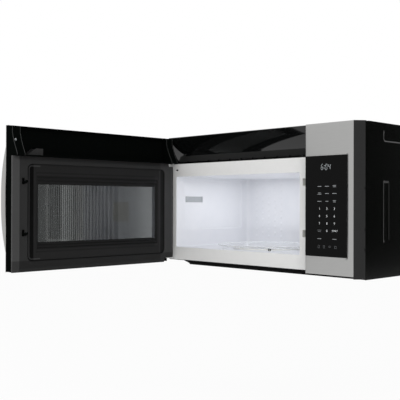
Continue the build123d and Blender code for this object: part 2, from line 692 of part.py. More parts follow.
# ---- control panel ---------------------------------------------------------------------
def control_skin():
    """Stainless face with folded edges, open on the left for the glass."""
    low, top = PANEL_LOW, HEIGHT
    face = rect(PANEL_LEFT, PANEL_RIGHT, low, top) - rect(PANEL_LEFT, GLASS_RIGHT, GLASS_LOW, GLASS_TOP)
    skin = upright(face, 0, SKIN)
    skin += block(PANEL_LEFT, PANEL_RIGHT, SKIN, 10, top - SKIN, top)
    skin += block(PANEL_LEFT, PANEL_RIGHT, SKIN, 10, low, low + SKIN)
    skin += block(PANEL_LEFT, PANEL_LEFT + SKIN, SKIN, 8, GLASS_TOP, top - SKIN)
    skin += block(PANEL_LEFT, PANEL_LEFT + SKIN, SKIN, 8, low + SKIN, GLASS_LOW)
    return skin


PANE_T = 3.2


def control_glass():
    pane = rect(PANEL_LEFT, GLASS_RIGHT - 0.2, GLASS_LOW + 0.2, GLASS_TOP - 0.2)
    return upright(pane, 0, PANE_T)


def control_carrier():
    """Moulded box behind the control panel, open to the rear."""
    low, top = PANEL_LOW + SKIN, HEIGHT - SKIN
    left, right = PANEL_LEFT + SKIN, PANEL_RIGHT - 0.2
    body = block(left, right, SKIN, FRAME_Y, low, top)
    body -= block(left - 1, GLASS_RIGHT, 0, PANE_T + 0.4, GLASS_LOW, GLASS_TOP)
    body -= block(left + 2.6, right - 2.6, 5.8, FRAME_Y, low + 2.6, top - 2.6)
    body -= upright(rect(623, 683, 283, 307), 0, 10)
    for x in (606.0, 704.0):
        for z in (80.0, 300.0):
            body += rod(4.0, (x, 5.8, z), "y", 8.2, sides=12)
    return body


def control_end_cap():
    """Slanting plastic strip between the control panel and the case side."""
    x0, x1, back = PANEL_RIGHT, WIDTH, CHAMFER_DEPTH
    section = outline((x0, 0), (x1, back), (x1 - SHEET - 0.3, back), (x1 - SHEET - 0.3, back + 7),
                      (x1 - 4, back + 7), (x1 - 4, back + 1.5), (x0, 6.2))
    strip = flat(section, SHEET + 0.8, HEIGHT)
    for z in (77.0, 128.0, 234.0):
        strip -= block(x1 - 3, x1 + 1, back - 2.6, back, z - 3, z + 3)
    return strip


def control_board():
    """Circuit board with its display, transformer block, relays and buzzer."""
    board = upright(rect(598, 712, 72, 312), 14, 15.6)
    board += upright(rect(624.5, 681.5, 284.5, 305.5), 4.0, 14)
    board += upright(rect(606, 640, 90, 128), 15.6, 34)
    for z in (96.0, 124.0, 152.0):
        board += block(660, 690, 15.6, 32, z, z + 18)
    return board + rod(6.0, (690, 15.6, 250), "y", 8.4, sides=16)


# ---- door ------------------------------------------------------------------------------
TRAY_TOP_T = 26.0        # the door's upper tray is this thick at its top
TRAY_LOW_T = 52.0        # and this thick at its foot, over the inner cover
POST = 25.5
MOULD = 2.5


def tray_side(inset=0.0):
    """Side shape of the upper tray in Y and Z."""
    top = DOOR_TOP - SKIN - inset
    low = DOOR_SPLIT + inset
    front = SKIN + inset
    return outline((front, low), (front, top), (TRAY_TOP_T - inset, top), (TRAY_TOP_T - inset, 386),
                   (30 - inset, 372), (40 - inset, 350), (TRAY_LOW_T - inset, 328), (TRAY_LOW_T - inset, low))


def corner_cut():
    """Space taken by the plastic strip at the hinge end."""
    size = DOOR_CORNER + 0.4
    strip = outline((-5, -5), (size, -5), (size, 2.8), (DOOR_LEFT, size + 1.0), (DOOR_LEFT, 60), (-5, 60))
    return flat(strip, 0, HEIGHT)


def hinge_notches():
    """Room for the two hinge tongues to swing past the door's corner."""
    top = block(-1, 22.5, 6.0, 60, TONGUES[1] - 3.5, TONGUES[1] + TONGUE_T + 2.5)
    low = block(-1, 41.0, 6.0, 60, 0, TONGUES[0] + TONGUE_T + 1.5)
    return top + low


PIN_BORES = ((TONGUES[0] + TONGUE_T, 24.0), (TONGUES[1] - 24.0, 24.0))
SCREW_SEATS = ((HANDLE_LOW + 15, 6.5), (HANDLE_TOP - 15, SKIN + MOULD))
POST_SCREW_Z = 370.0
POST_SCREWS = (DOOR_LEFT + 13.0, DOOR_RIGHT - 13.0)


def door_frame():
    """Black moulded body of the door: ribbed trough round the window, tray above."""
    left, right, low, split = DOOR_LEFT, DOOR_RIGHT, DOOR_LOW, DOOR_SPLIT
    body = block(left, right, SKIN, 22, low + SKIN, split)
    body -= block(40, right + 1, 0, 4, GLASS_LOW, GLASS_TOP)
    trough = rect(left + MOULD, right - MOULD, low + SKIN + MOULD, split - MOULD)
    x0, x1, z0, z1 = WINDOW
    trough -= rect(x0 - 8, x1 + 8, z0 - 8, z1 + 8)
    trough -= rect(left, 26, low, 46)
    trough -= rect(left, 26, 286, split)
    body -= upright(trough, 6.5, 22)
    body -= upright(rect(x0 - 5, x1 + 5, z0 - 5, z1 + 5), 0, 30)
    guide = block(HOOK_X - 7, HOOK_X + 7, 6.5, 20, 130, 236)
    guide -= block(HOOK_X - 3.1, HOOK_X + 3.1, 11.9, 22, 130, 236)
    body += guide + block(HOOK_X - 7, HOOK_X + 7, 6.5, 22, SPRING_TOP, SPRING_TOP + 6)
    tray = sideways(tray_side(), left, right)
    tray -= block(left + POST, right - POST, SKIN + MOULD, 60, split + MOULD, DOOR_TOP - SKIN - MOULD)
    tray -= sideways(tray_side(MOULD), right - POST - 1, right - MOULD)
    tray -= sideways(tray_side(MOULD), left - 1, left + POST - MOULD)
    for x in POST_SCREWS:
        tray += rod(6.5, (x, SKIN + MOULD, POST_SCREW_Z), "y", 26, sides=16)
        tray -= rod(5.2, (x, 26, POST_SCREW_Z), "y", 10, sides=24)
        tray -= rod(1.65, (x, 14, POST_SCREW_Z), "y", 14)
    body += tray
    body -= corner_cut()
    body -= hinge_notches()
    for z, height in PIN_BORES:
        body -= rod(PIN_R + 0.05, (PIN_X, PIN_Y, z), "z", height)
    for z, depth in SCREW_SEATS:
        body -= rod(1.65, (HANDLE_X, 0, z), "y", depth)
    return body


def door_skin():
    """Stainless face of the door: top, hinge side and bottom, folded at the edges."""
    x0, x1, low, top = DOOR_CORNER + 0.4, DOOR_RIGHT, DOOR_LOW, DOOR_TOP
    face = rect(x0, x1, low, top) - rect(40, x1, GLASS_LOW, GLASS_TOP)
    skin = upright(face, 0, SKIN)
    skin += block(x0, x1, SKIN, 10, top - SKIN, top)
    skin += block(42, x1, SKIN, 5.5, low, low + SKIN)
    return skin - rod(1.65, (HANDLE_X, -1, SCREW_SEATS[1][0]), "y", 4)


def door_glass():
    """Dark outer pane, flush with the stainless face."""
    pane = rect(40.2, DOOR_RIGHT, GLASS_LOW + 0.2, GLASS_TOP - 0.2)
    return upright(pane, 0, 4) - rod(1.65, (HANDLE_X, -1, SCREW_SEATS[0][0]), "y", 6)


def door_end_cap():
    """Plastic corner strip at the hinge end of the door, with the end plate of the tray."""
    size = DOOR_CORNER
    section = outline((size, 0), (0, size), (0, 28), (DOOR_LEFT, 28), (DOOR_LEFT, size + 1.4),
                      (size + 0.4, 2.8), (size + 0.4, 0))
    strip = flat(section, DOOR_LOW, DOOR_TOP)
    plate = sideways(tray_side(), 0, DOOR_LEFT) - block(-1, 3, 0, size + 1, 0, HEIGHT)
    return strip + plate - hinge_notches()


def door_inner_panel():
    """Steel inner panel of the door, open at the window."""
    sheet = rect(DOOR_LEFT + 2.5, DOOR_RIGHT - MOULD, DOOR_LOW + 2, DOOR_SPLIT - 2)
    sheet -= rect(*WINDOW)
    for z in HOOK_ZS:
        sheet -= rect(HOOK_X - 4, HOOK_X + 4, z - 7, z + 11)
    return upright(sheet, 22, 22.8) - hinge_notches()


def door_screen():
    """Perforated steel screen over the window, welded to the inner panel."""
    x0, x1, z0, z1 = WINDOW
    return upright(rect(x0 - 6, x1 + 6, z0 - 6, z1 + 6), 22.8, 23.2)


def window_glass():
    """Clear inner pane over the screen."""
    x0, x1, z0, z1 = WINDOW
    return upright(rect(x0 - 6, x1 + 6, z0 - 6, z1 + 6, 3), 23.2, 25)


STEP_RECT = (42.5, 536.0, 36.0, 299.0)
SLOPE_RECT = (65.0, 514.0, 57.0, 281.0)


def choke_cover():
    """Inner cover of the door: bevelled edge, stepped recess and sloping window frame."""
    left, right, low, top = DOOR_LEFT + 2, DOOR_RIGHT, DOOR_LOW, DOOR_SPLIT
    face = outline((left, DOOR_T - 3), (left + 7, DOOR_T), (right - 19, DOOR_T), (right, DOOR_T - 3.4),
                   (right, 22.8), (left, 22.8))
    cover = flat(face, low, top)
    edge = outline((23.2 - 1, low - 1), (DOOR_T + 1, low - 1), (DOOR_T + 1, low + 10), (DOOR_T, low + 9),
                   (DOOR_T - 3, low), (23.2 - 1, low))
    cover -= sideways(edge, left - 1, right + 1)
    brow = outline((DOOR_T, top - 11), (DOOR_T + 1, top - 11), (DOOR_T + 1, top + 1), (DOOR_T - 3, top + 1),
                   (DOOR_T - 3, top))
    cover -= sideways(brow, left - 1, right + 1)
    x0, x1, z0, z1 = STEP_RECT
    floor = DOOR_T - 3.5
    cover -= upright(rect(x0, x1, z0, z1, 14), floor, DOOR_T + 1)
    sx0, sx1, sz0, sz1 = SLOPE_RECT
    wx0, wx1, wz0, wz1 = WINDOW
    mouth = Pos(0, floor, 0) * (Plane.XZ * rect(sx0, sx1, sz0, sz1, 9))
    throat = Pos(0, 25, 0) * (Plane.XZ * rect(wx0, wx1, wz0, wz1, 4))
    cover -= loft([mouth, throat])
    cover -= upright(rect(wx0 - 6, wx1 + 6, wz0 - 6, wz1 + 6), 22, 23.2)
    cover -= upright(rect(wx0 - 6, wx1 + 6, wz0 - 6, wz1 + 6, 3), 23, 25)
    for z in HOOK_ZS:
        cover -= upright(rect(HOOK_X - 4, HOOK_X + 4, z - 7, z + 11, 1.5), 20, DOOR_T + 1)
    return cover - hinge_notches()


def latch_bar():
    """Upright bar inside the door with the two hooks that reach into the oven front."""
    bar = block(HOOK_X - 3, HOOK_X + 3, 12, 21.5, HOOK_ZS[0] - 12, HOOK_ZS[1] + 10)
    reach = DOOR_T + 21
    for z in HOOK_ZS:
        hook = outline((20, z - 5), (reach - 9, z - 5), (reach, z + 1), (reach, z + 4), (reach - 7, z + 4.6),
                       (reach - 8, z + 2), (reach - 16, z + 2), (20, z + 5))
        bar += sideways(hook, HOOK_X - 2, HOOK_X + 2)
    return bar


def latch_spring():
    """Compression spring over the latch bar."""
    turns = 3
    pitch = (SPRING_TOP - SPRING_LOW - 1.2) / turns
    path = Pos(HOOK_X, 16.5, SPRING_LOW + 0.6) * Helix(pitch, pitch * turns, 2.3)
    wire = Plane(origin=path @ 0, z_dir=path % 0) * Rectangle(0.9, 0.9)
    return sweep(wire, path=path)


def latch_cover():
    """Small moulded cover on the tray's floor near the free edge."""
    floor = DOOR_SPLIT + MOULD
    shape = outline((491, floor), (538, floor), (538, 328), (513, 345.5), (491, 345.5))
    return upright(shape, SKIN + MOULD, 30)


# ---- handle ----------------------------------------------------------------------------
def handle():
    """Bowed bar of brushed stainless, standing on its two ends."""
    middle = (HANDLE_LOW + HANDLE_TOP) / 2
    outer = ThreePointArc((0, HANDLE_LOW), (-HANDLE_BOW, middle), (0, HANDLE_TOP))
    inner = ThreePointArc((0, HANDLE_TOP - HANDLE_FOOT), (-HANDLE_GAP, middle), (0, HANDLE_LOW + HANDLE_FOOT))
    upper_foot = Line((0, HANDLE_TOP), (0, HANDLE_TOP - HANDLE_FOOT))
    lower_foot = Line((0, HANDLE_LOW + HANDLE_FOOT), (0, HANDLE_LOW))
    shape = make_face(Wire([outer, upper_foot, inner, lower_foot]))
    bar = sideways(shape, HANDLE_X - HANDLE_WIDE / 2, HANDLE_X + HANDLE_WIDE / 2)
    front = bar.edges().filter_by(GeomType.CIRCLE).sort_by(Axis.Y)[:2]
    bar = fillet(front, 4)
    for z, _ in SCREW_SEATS:
        bar -= rod(1.6, (HANDLE_X, -4.5, z), "y", 8)
    return bar


def door_screws():
    """Two screws in the end posts and two that hold the handle, one solid each."""
    screws = []
    for x in POST_SCREWS:
        head = rod(3.6, (x, 26, POST_SCREW_Z), "y", 2.2)
        screws.append(head + rod(1.6, (x, 15, POST_SCREW_Z), "y", 12))
    for z, depth in SCREW_SEATS:
        head = rod(4.0, (HANDLE_X, depth, z), "y", 2.4)
        screws.append(head + rod(1.6, (HANDLE_X, -4.5, z), "y", depth + 5))
    return Compound(children=screws)


# ---- the parts list ----------------------------------------------------------------------
def case_pieces():
    """Everything that stays with the oven: name and solid."""
    pieces = {
        "case_left_side": case_left_side(),
        "case_right_side": case_right_side(),
        "case_top": case_top(),
        "top_brace": top_brace(),
        "cord_grommet": cord_grommet(),
        "back_panel": back_panel(),
        "base_pan": base_pan(),
        "base_rails": base_rails(),
        "front_frame": front_frame(),
        "cavity_liner": cavity_liner(),
        "waveguide_cover": waveguide_cover(),
        "hinge_brackets": Compound(children=[hinge_bracket_top(), hinge_bracket_bottom()]),
        "vent_fascia": vent_fascia(),
        "charcoal_filter": charcoal_filter(),
        "air_duct_plate": air_duct_plate(),
        "blower_housings": blower_housings(),
        "blower_motor": blower_motor(),
        "blower_shaft": blower_shaft(),
        "blower_wheels": blower_wheels(),
        "turntable_motor": turntable_motor(),
        "drive_coupler": drive_coupler(),
        "roller_ring": roller_ring(),
        "glass_tray": glass_tray(),
        "lamp_lenses": lamp_lenses(),
        "lamp_housings": lamp_housings(),
        "component_plate": component_plate(),
        "transformer_core": transformer_core(),
        "transformer_coils": transformer_coils(),
        "hv_capacitor": hv_capacitor(),
        "waveguide": waveguide(),
        "magnetron": magnetron(),
        "fan_housing": fan_housing(),
        "fan_motor": fan_motor(),
        "fan_blade": fan_blade(),
        "cavity_lamp": cavity_lamp(),
        "latch_board": latch_board(),
        "interlock_switches": interlock_switches(),
        "control_skin": control_skin(),
        "control_glass": control_glass(),
        "control_carrier": control_carrier(),
        "control_end_cap": control_end_cap(),
        "control_board": control_board(),
    }
    for number, angle in enumerate(ROLLER_ANGLES, 1):
        pieces[f"tray_roller_{number}"] = tray_roller(angle)
    for side, place in zip(("left", "right"), FILTER_PLACES):
        pieces[f"grease_filter_{side}"] = grease_filter(*place)
    return pieces


def door_pieces():
    """Everything that swings with the door, drawn closed: name and solid."""
    return {
        "door_frame": door_frame(),
        "door_skin": door_skin(),
        "door_glass": door_glass(),
        "door_end_cap": door_end_cap(),
        "door_inner_panel": door_inner_panel(),
        "door_screen": door_screen(),
        "window_glass": window_glass(),
        "choke_cover": choke_cover(),
        "latch_bar": latch_bar(),
        "latch_spring": latch_spring(),
        "latch_cover": latch_cover(),
        "door_screws": door_screws(),
        "handle": handle(),
    }


def save(name, solid):
    """Write one node."""
    solid.label = name
    export_step(solid, f"parts/{name}.step")


def main():
    os.makedirs("parts", exist_ok=True)
    for name, solid in case_pieces().items():
        save(name, seat(solid))
    for name, solid in door_pieces().items():
        save(name, swing(solid))


main()
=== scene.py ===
import math

import bpy
import numpy as np
from mathutils import Matrix, Vector


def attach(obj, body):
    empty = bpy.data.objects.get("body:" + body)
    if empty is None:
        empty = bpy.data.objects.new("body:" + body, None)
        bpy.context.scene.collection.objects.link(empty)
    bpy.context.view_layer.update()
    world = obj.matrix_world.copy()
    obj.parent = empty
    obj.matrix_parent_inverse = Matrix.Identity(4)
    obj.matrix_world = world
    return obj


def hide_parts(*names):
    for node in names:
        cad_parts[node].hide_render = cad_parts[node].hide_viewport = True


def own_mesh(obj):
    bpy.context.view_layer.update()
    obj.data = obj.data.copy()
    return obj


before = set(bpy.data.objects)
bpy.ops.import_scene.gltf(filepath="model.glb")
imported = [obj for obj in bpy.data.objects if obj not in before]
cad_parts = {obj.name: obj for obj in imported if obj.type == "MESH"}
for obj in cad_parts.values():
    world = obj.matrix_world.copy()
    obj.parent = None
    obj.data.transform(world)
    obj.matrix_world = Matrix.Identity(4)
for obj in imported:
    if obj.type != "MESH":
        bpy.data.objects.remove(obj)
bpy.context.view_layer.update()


# --- Case ---------------------------------------------------------------------------------------
# The case is steel sheet, folded at its edges and baked with gloss black enamel. Each
# side has shallow pressed panels that stiffen it, and their rounded edges catch a thin
# line of light. The sides are drawn again here with soft edges to the pressings.

def to_linear(code):
    """sRGB hex code as the linear colour that a shader takes."""
    values = [int(code[i:i + 2], 16) / 255 for i in (1, 3, 5)]
    return [v / 12.92 if v <= 0.04045 else ((v + 0.055) / 1.055) ** 2.4 for v in values] + [1.0]


def add(finish, kind, sockets=None, into=None, output=0, **settings):
    """Adds a node. settings are its own properties, sockets maps an input's name or number to a value or
    to the output that feeds it, and into is the socket that its output goes to."""
    tree = finish.node_tree
    node = tree.nodes.new(kind)
    for name, value in settings.items():
        setattr(node, name, value)
    for key, value in (sockets or {}).items():
        if isinstance(value, bpy.types.NodeSocket):
            tree.links.new(value, node.inputs[key])
        else:
            node.inputs[key].default_value = value
    if into:
        tree.links.new(node.outputs[output], into)
    return node


def new_finish(name, **values):
    """A material whose shader has these values on its own sockets; returns it with its shader node."""
    finish = bpy.data.materials.new(name)
    finish.use_nodes = True
    shader = finish.node_tree.nodes["Principled BSDF"]
    for key, value in values.items():
        shader.inputs[key.replace("_", " ")].default_value = value
    return finish, shader


def patches(finish, size_mm, detail=2.0, stretch=(1, 1, 1)):
    """Soft patches size_mm across all over a piece, from 0 to 1: noise on its own coordinates, which can be
    stretched into lines."""
    spot = add(finish, "ShaderNodeTexCoord").outputs["Object"]
    spot = add(finish, "ShaderNodeMapping", {"Vector": spot, "Scale": stretch}).outputs["Vector"]
    return add(finish, "ShaderNodeTexNoise", {"Vector": spot, "Scale": 1000 / size_mm,
                                              "Detail": detail}).outputs["Fac"]


def textured(finish, shader, size_mm, depth_mm):
    """Lifts the surface in soft grains size_mm across and depth_mm high, as a mould or a coating leaves it."""
    add(finish, "ShaderNodeBump", {"Height": patches(finish, size_mm), "Distance": depth_mm / 1000},
        into=shader.inputs["Normal"])


def coat(finish, *nodes):
    """Gives the finish to these pieces of the frame."""
    for name in nodes:
        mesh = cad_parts[name].data
        mesh.materials.clear()
        mesh.materials.append(finish)


def mottled(name, nodes, size_mm, dark, light, detail=2.0, stretch=(1, 1, 1), **values):
    """A finish on these pieces of the frame, whose colour runs from dark to light in patches of size_mm."""
    finish, shader = new_finish(name, **values)
    add(finish, "ShaderNodeMix", {"Factor": patches(finish, size_mm, detail, stretch), 6: to_linear(dark),
                                  7: to_linear(light)}, into=shader.inputs["Base Color"], output=2,
        data_type="RGBA")
    coat(finish, *nodes)
    return finish, shader


OVEN_MIDDLE = (379.5, 196.0)


def oven(x, y, z):
    """Points of the oven in metres from the drawing's millimetres: x from its left side, y from the
    control panel's face back to the wall, z up."""
    x, y, z = np.broadcast_arrays(x, y, z)
    return np.stack([x - OVEN_MIDDLE[0], y - OVEN_MIDDLE[1], z], axis=-1) / 1000


def make_piece(name, points, faces, finish, body, smooth=True):
    """A mesh that moves with a body and takes the finish it is given."""
    mesh = bpy.data.meshes.new(name)
    mesh.from_pydata(np.reshape(points, (-1, 3)).tolist(), [], faces)
    mesh.validate()
    mesh.update()
    mesh.polygons.foreach_set("use_smooth", [smooth] * len(mesh.polygons))
    mesh.materials.append(finish)
    piece = bpy.data.objects.new(name, mesh)
    bpy.context.collection.objects.link(piece)
    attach(piece, body)
    return piece


def surface(name, points, finish, body, closed_v=False, keep=None, wall=0.0, ends=False):
    """A piece from a grid of points, rows by columns by xyz. closed_v joins the last column to the first,
    keep says which cells stay, and ends closes the first and last rows with a face each. It faces the way
    that a row turned onto a column points, and a wall in millimetres makes it a sheet behind that face."""
    rows, columns = points.shape[:2]
    numbers = np.arange(rows * columns).reshape(rows, columns)
    if closed_v:
        numbers = np.hstack([numbers, numbers[:, :1]])
    cells = np.stack([numbers[:-1, :-1], numbers[1:, :-1], numbers[1:, 1:], numbers[:-1, 1:]], axis=-1)
    cells = (cells[keep] if keep is not None else cells.reshape(-1, 4)).tolist()
    if ends:
        cells += [numbers[0, :columns].tolist(), numbers[-1, :columns][::-1].tolist()]
    piece = make_piece(name, points, cells, finish, body)
    if ends:
        piece.data.polygons[-2].use_smooth = piece.data.polygons[-1].use_smooth = False
    if wall:
        solidify = piece.modifiers.new("wall", "SOLIDIFY")
        solidify.thickness = wall / 1000
        solidify.offset = -1.0
    return piece


def soft_step(distance, width):
    """1 well inside, 0 well outside, turning smoothly over width round a distance of 0."""
    t = np.clip(0.5 - distance / width, 0, 1)
    return t * t * (3 - 2 * t)


def round_box(u, v, u0, u1, v0, v1, radius):
    """Distance to a rectangle with rounded corners: negative inside it."""
    du = np.abs(u - (u0 + u1) / 2) - (u1 - u0) / 2 + radius
    dv = np.abs(v - (v0 + v1) / 2) - (v1 - v0) / 2 + radius
    return np.hypot(np.maximum(du, 0), np.maximum(dv, 0)) + np.minimum(np.maximum(du, dv), 0) - radius


def stations(start, end, step, *zones):
    """Grid lines from start to end in steps, and in finer steps in each zone (from, to, step)."""
    lines = [np.arange(start, end, step), [start + 0.3, end - 0.3, end]]
    lines += [np.arange(max(start, a), min(end, b) + c / 2, c) for a, b, c in zones]
    lines = np.unique(np.round(np.concatenate(lines), 3))
    lines = lines[(lines <= end) & np.concatenate([[True], np.diff(lines) > 0.12])]
    return lines


case_enamel, case_shader = new_finish("black_enamelled_steel", Base_Color=to_linear("#080908"), Roughness=0.16,
                                      IOR=1.38, Specular_IOR_Level=0.42)
textured(case_enamel, case_shader, 3.0, 0.004)
coat(case_enamel, "case_left_side", "case_right_side", "case_top")

# Millimetres. Boxes are (first, last) pairs along the two directions of the sheet.
CASE_WIDTH, CASE_DEPTH, CASE_HEIGHT = 759.0, 392.0, 407.0
SHEET = 1.2
BEAD = (111.0, 137.0, 96.0, 252.0)
BEAD_PANEL = (111.0, 362.0, 359.0, 420.0)
PANEL_FADE = (382.0, 16.0)
BEAD_DEPTH, BEAD_EDGE, NEAR_EDGE = 2.0, 2.8, 5.2
LEFT_CUT = (145.0, 12.0)
SIDE_FRONT, LEFT_FRONT, SHIFT_END = 23.0, 36.0, 100.0
CUT_LOW, CUT_LINE_Z, CUT_LINE_Y = 321.4, (328, 350, 372, 386), (53.5, 41.8, 32, 28)


def pressed_side(y, z):
    """How far the side sheet is pressed in: a flat bottomed bead that runs out at both ends, and a large
    upper panel that fades out below the fold of the top cover."""
    panel = soft_step(round_box(y, z, *BEAD_PANEL, 8), NEAR_EDGE) * soft_step(z - PANEL_FADE[0], PANEL_FADE[1])
    y0, y1, z0, z1 = BEAD
    bead = soft_step(y0 - y, NEAR_EDGE) * soft_step(y - y1, BEAD_EDGE)
    return BEAD_DEPTH * (bead * soft_step(np.abs(z - (z0 + z1) / 2) - (z1 - z0) / 2, 12) + panel)


def tray_clearance(z):
    """Front edge of the left side at each height: it stands back where the end of the door's tray passes."""
    return np.where(z > CUT_LOW, np.maximum(LEFT_FRONT, np.interp(z, CUT_LINE_Z, CUT_LINE_Y)), LEFT_FRONT)


side_z = stations(0, CASE_HEIGHT - SHEET, 12, (88, 104, 1.5), (244, 260, 1.5), (357, 362, 0.6), (372, 392, 2),
                  (320, 323, 0.5), (323, 362, 3), (11, 13, 0.5), (99, 106, 1), (242, 250, 1), (361, 368, 1))
side_y = stations(SIDE_FRONT, CASE_DEPTH, 12, (107, 115, 0.5), (134, 140, 0.5), (360, 364, 0.5), (115, 120, 1),
                  (129, 135, 1), (144, 146, 0.5), (352, 360, 1))
zz, yy = np.meshgrid(side_z, side_y, indexing="ij")
right_sheet = surface("right_side_sheet", oven(CASE_WIDTH - pressed_side(yy, zz), yy, zz)[:, ::-1], case_enamel,
                      "cabinet", wall=SHEET)
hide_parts("case_right_side")
left_front = tray_clearance(zz)
drawn_in = left_front + (yy - SIDE_FRONT) * (SHIFT_END - left_front) / (SHIFT_END - SIDE_FRONT)
left_y = np.where(yy < SHIFT_END, drawn_in, yy)
left_sheet = surface("left_side_sheet", oven(pressed_side(left_y, zz), left_y, zz), case_enamel, "cabinet",
                     wall=SHEET,
                     keep=~((zz[1:, 1:] < LEFT_CUT[1] + 0.1) & (left_y[1:, 1:] < LEFT_CUT[0] + 0.1)))
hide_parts("case_left_side")


# --- Base pan -----------------------------------------------------------------------------------
# The bottom pan is folded steel with a satin black paint that reflects little. Two grease
# filters that lift out and two lamp lenses lie over its openings.

satin_black, satin_shader = mottled("satin_black_paint", ("base_pan",), 9.0, "#080808", "#0d0d0d",
                                    Roughness=0.6, Specular_IOR_Level=0.08)
textured(satin_black, satin_shader, 1.2, 0.01)


# --- Galvanised sheet ---------------------------------------------------------------------------
# The back, the rails, the air duct and the brackets inside are zinc coated steel, cut and
# folded. The coating shows spangles, patches a few millimetres wide that differ a little
# in how they shine.

zinc_sheet, zinc_shader = new_finish("galvanised_steel", Metallic=1.0, Roughness=0.42)
SPANGLE = 9.0
spangle_spot = add(zinc_sheet, "ShaderNodeTexCoord").outputs["Object"]
spangle = add(zinc_sheet, "ShaderNodeTexVoronoi", {"Vector": spangle_spot, "Scale": 1000 / SPANGLE})
spangle_tone = add(zinc_sheet, "ShaderNodeSeparateColor", {"Color": spangle.outputs["Color"]}).outputs[0]
add(zinc_sheet, "ShaderNodeMix", {"Factor": spangle_tone, 6: to_linear("#8f9294"), 7: to_linear("#b6b9bb")},
    into=zinc_shader.inputs["Base Color"], output=2, data_type="RGBA")
coat(zinc_sheet, "top_brace", "back_panel", "base_rails", "air_duct_plate", "component_plate", "waveguide",
     "blower_housings", "turntable_motor", "blower_motor", "blower_shaft", "door_screws")


# --- Front frame and hinges ---------------------------------------------------------------------
# The oven's face is one pressed steel plate with a satin light grey powder coat, and the
# two hinge tongues come through it in the same coat. Powder coat has a faint orange peel.

face_coat, face_shader = mottled("light_grey_powder_coat", ("front_frame", "hinge_brackets"), 14.0, "#d8d8d7",
                                 "#dddddc", Roughness=0.42, Specular_IOR_Level=0.35)
textured(face_coat, face_shader, 1.6, 0.012)

HOOK_SLOTS = ((103.0, 121.0), (245.0, 263.0))
FLANGE_X, FLANGE_Y, FLANGE_ROOM = (549.9, 560.1), (37.2, 52.0), 4.0


def latch_slot_flange(number, low, high):
    """The flange behind a latch slot: a short rectangular tube whose four walls stand outside the slot's
    opening, from the face back."""
    x = np.array([FLANGE_X[0], FLANGE_X[1], FLANGE_X[1], FLANGE_X[0]])
    z = np.array([low, low, high, high]) + FLANGE_ROOM * np.array([-1, -1, 1, 1])
    y = np.linspace(*FLANGE_Y, 5)
    return surface(f"latch_slot_flange_{number}", oven(x[None, :], y[:, None], z[None, :])[::-1], face_coat,
                   "cabinet", closed_v=True, wall=0.9)


for number, slot_ends in enumerate(HOOK_SLOTS):
    latch_slot_flange(number + 1, *slot_ends)


# --- Cavity -------------------------------------------------------------------------------------
# The oven space is a box of steel sheet with a cool white acrylic enamel, smooth to wipe
# and a little glossy. Its left wall has a shallow pressed panel, its back wall rows of
# small dimples that scatter the waves, and its floor a round track for the rollers.

cavity_enamel, cavity_shader = mottled("cool_white_enamel", ("cavity_liner",), 30.0, "#e4e6eb", "#eaebef",
                                       Roughness=0.34, Specular_IOR_Level=0.45)
textured(cavity_enamel, cavity_shader, 4.0, 0.02)

# Inside of the cavity: x, y and z from and to. The skins lie a small gap inside the liner.
CAVITY = (34.0, 540.0, 37.4, 385.0, 52.0, 281.0)
SKIN_GAP = 0.3
CORNER_R, COVE_R = 12.0, 4.0
PANEL_PRESS, DIMPLE_PRESS = 2.0, 0.7
SIDE_PANEL = (66.0, 350.0, 108.0, 270.0)
DIMPLE_COLUMNS, DIMPLE_ROWS = (78.0, 28.0, 5), (79.0, 23.0, 9)


def cavity_walls(s, z):
    """Points of the wall skin: s runs along the plan of the left wall, the back and the first part of the
    right wall, with a quarter circle at each corner. The wall curves inwards at its foot and its top, is
    pressed out by 2 mm in the side panel, and has dimples 0.7 mm deep in the back."""
    x0, x1, y0, y1, z0, z1 = CAVITY
    x0, x1, y1 = x0 + SKIN_GAP, x1 - SKIN_GAP, y1 - SKIN_GAP
    side, arc, back = y1 - CORNER_R - y0, CORNER_R * math.pi / 2, x1 - x0 - 2 * CORNER_R
    first = np.clip((s - side) / arc, 0, 1) * math.pi / 2
    second = np.clip((s - side - arc - back) / arc, 0, 1) * math.pi / 2
    along = np.clip(s - side - arc, 0, back)
    beyond = np.maximum(s - side - 2 * arc - back, 0)
    turn = first + second
    x = x0 + CORNER_R * (1 - np.cos(first)) + along + CORNER_R * np.sin(second)
    y = y0 + np.minimum(s, side) + CORNER_R * np.sin(first) - CORNER_R * (1 - np.cos(second)) - beyond
    edge = np.clip(COVE_R - np.minimum(z - z0, z1 - z), 0, COVE_R)
    inward = COVE_R - np.sqrt(COVE_R ** 2 - edge ** 2)
    panel = soft_step(round_box(y, z, *SIDE_PANEL, 10), 4.0) * (s < side)
    start_x, step_x, columns = DIMPLE_COLUMNS
    start_z, step_z, rows = DIMPLE_ROWS
    column = np.clip(np.round((x - start_x) / step_x), 0, columns - 1)
    shifted = start_z + (column % 2) * step_z / 2
    row = np.clip(np.round((z - shifted) / step_z), 0, rows - 1)
    reach = np.hypot((x - start_x - column * step_x) / 4.0, (z - shifted - row * step_z) / 6.0)
    dimple = soft_step(reach - 0.75, 0.5) * (y > y1 - 1)
    inward = inward - PANEL_PRESS * panel + DIMPLE_PRESS * dimple
    return x + inward * np.cos(turn), y - inward * np.sin(turn), z


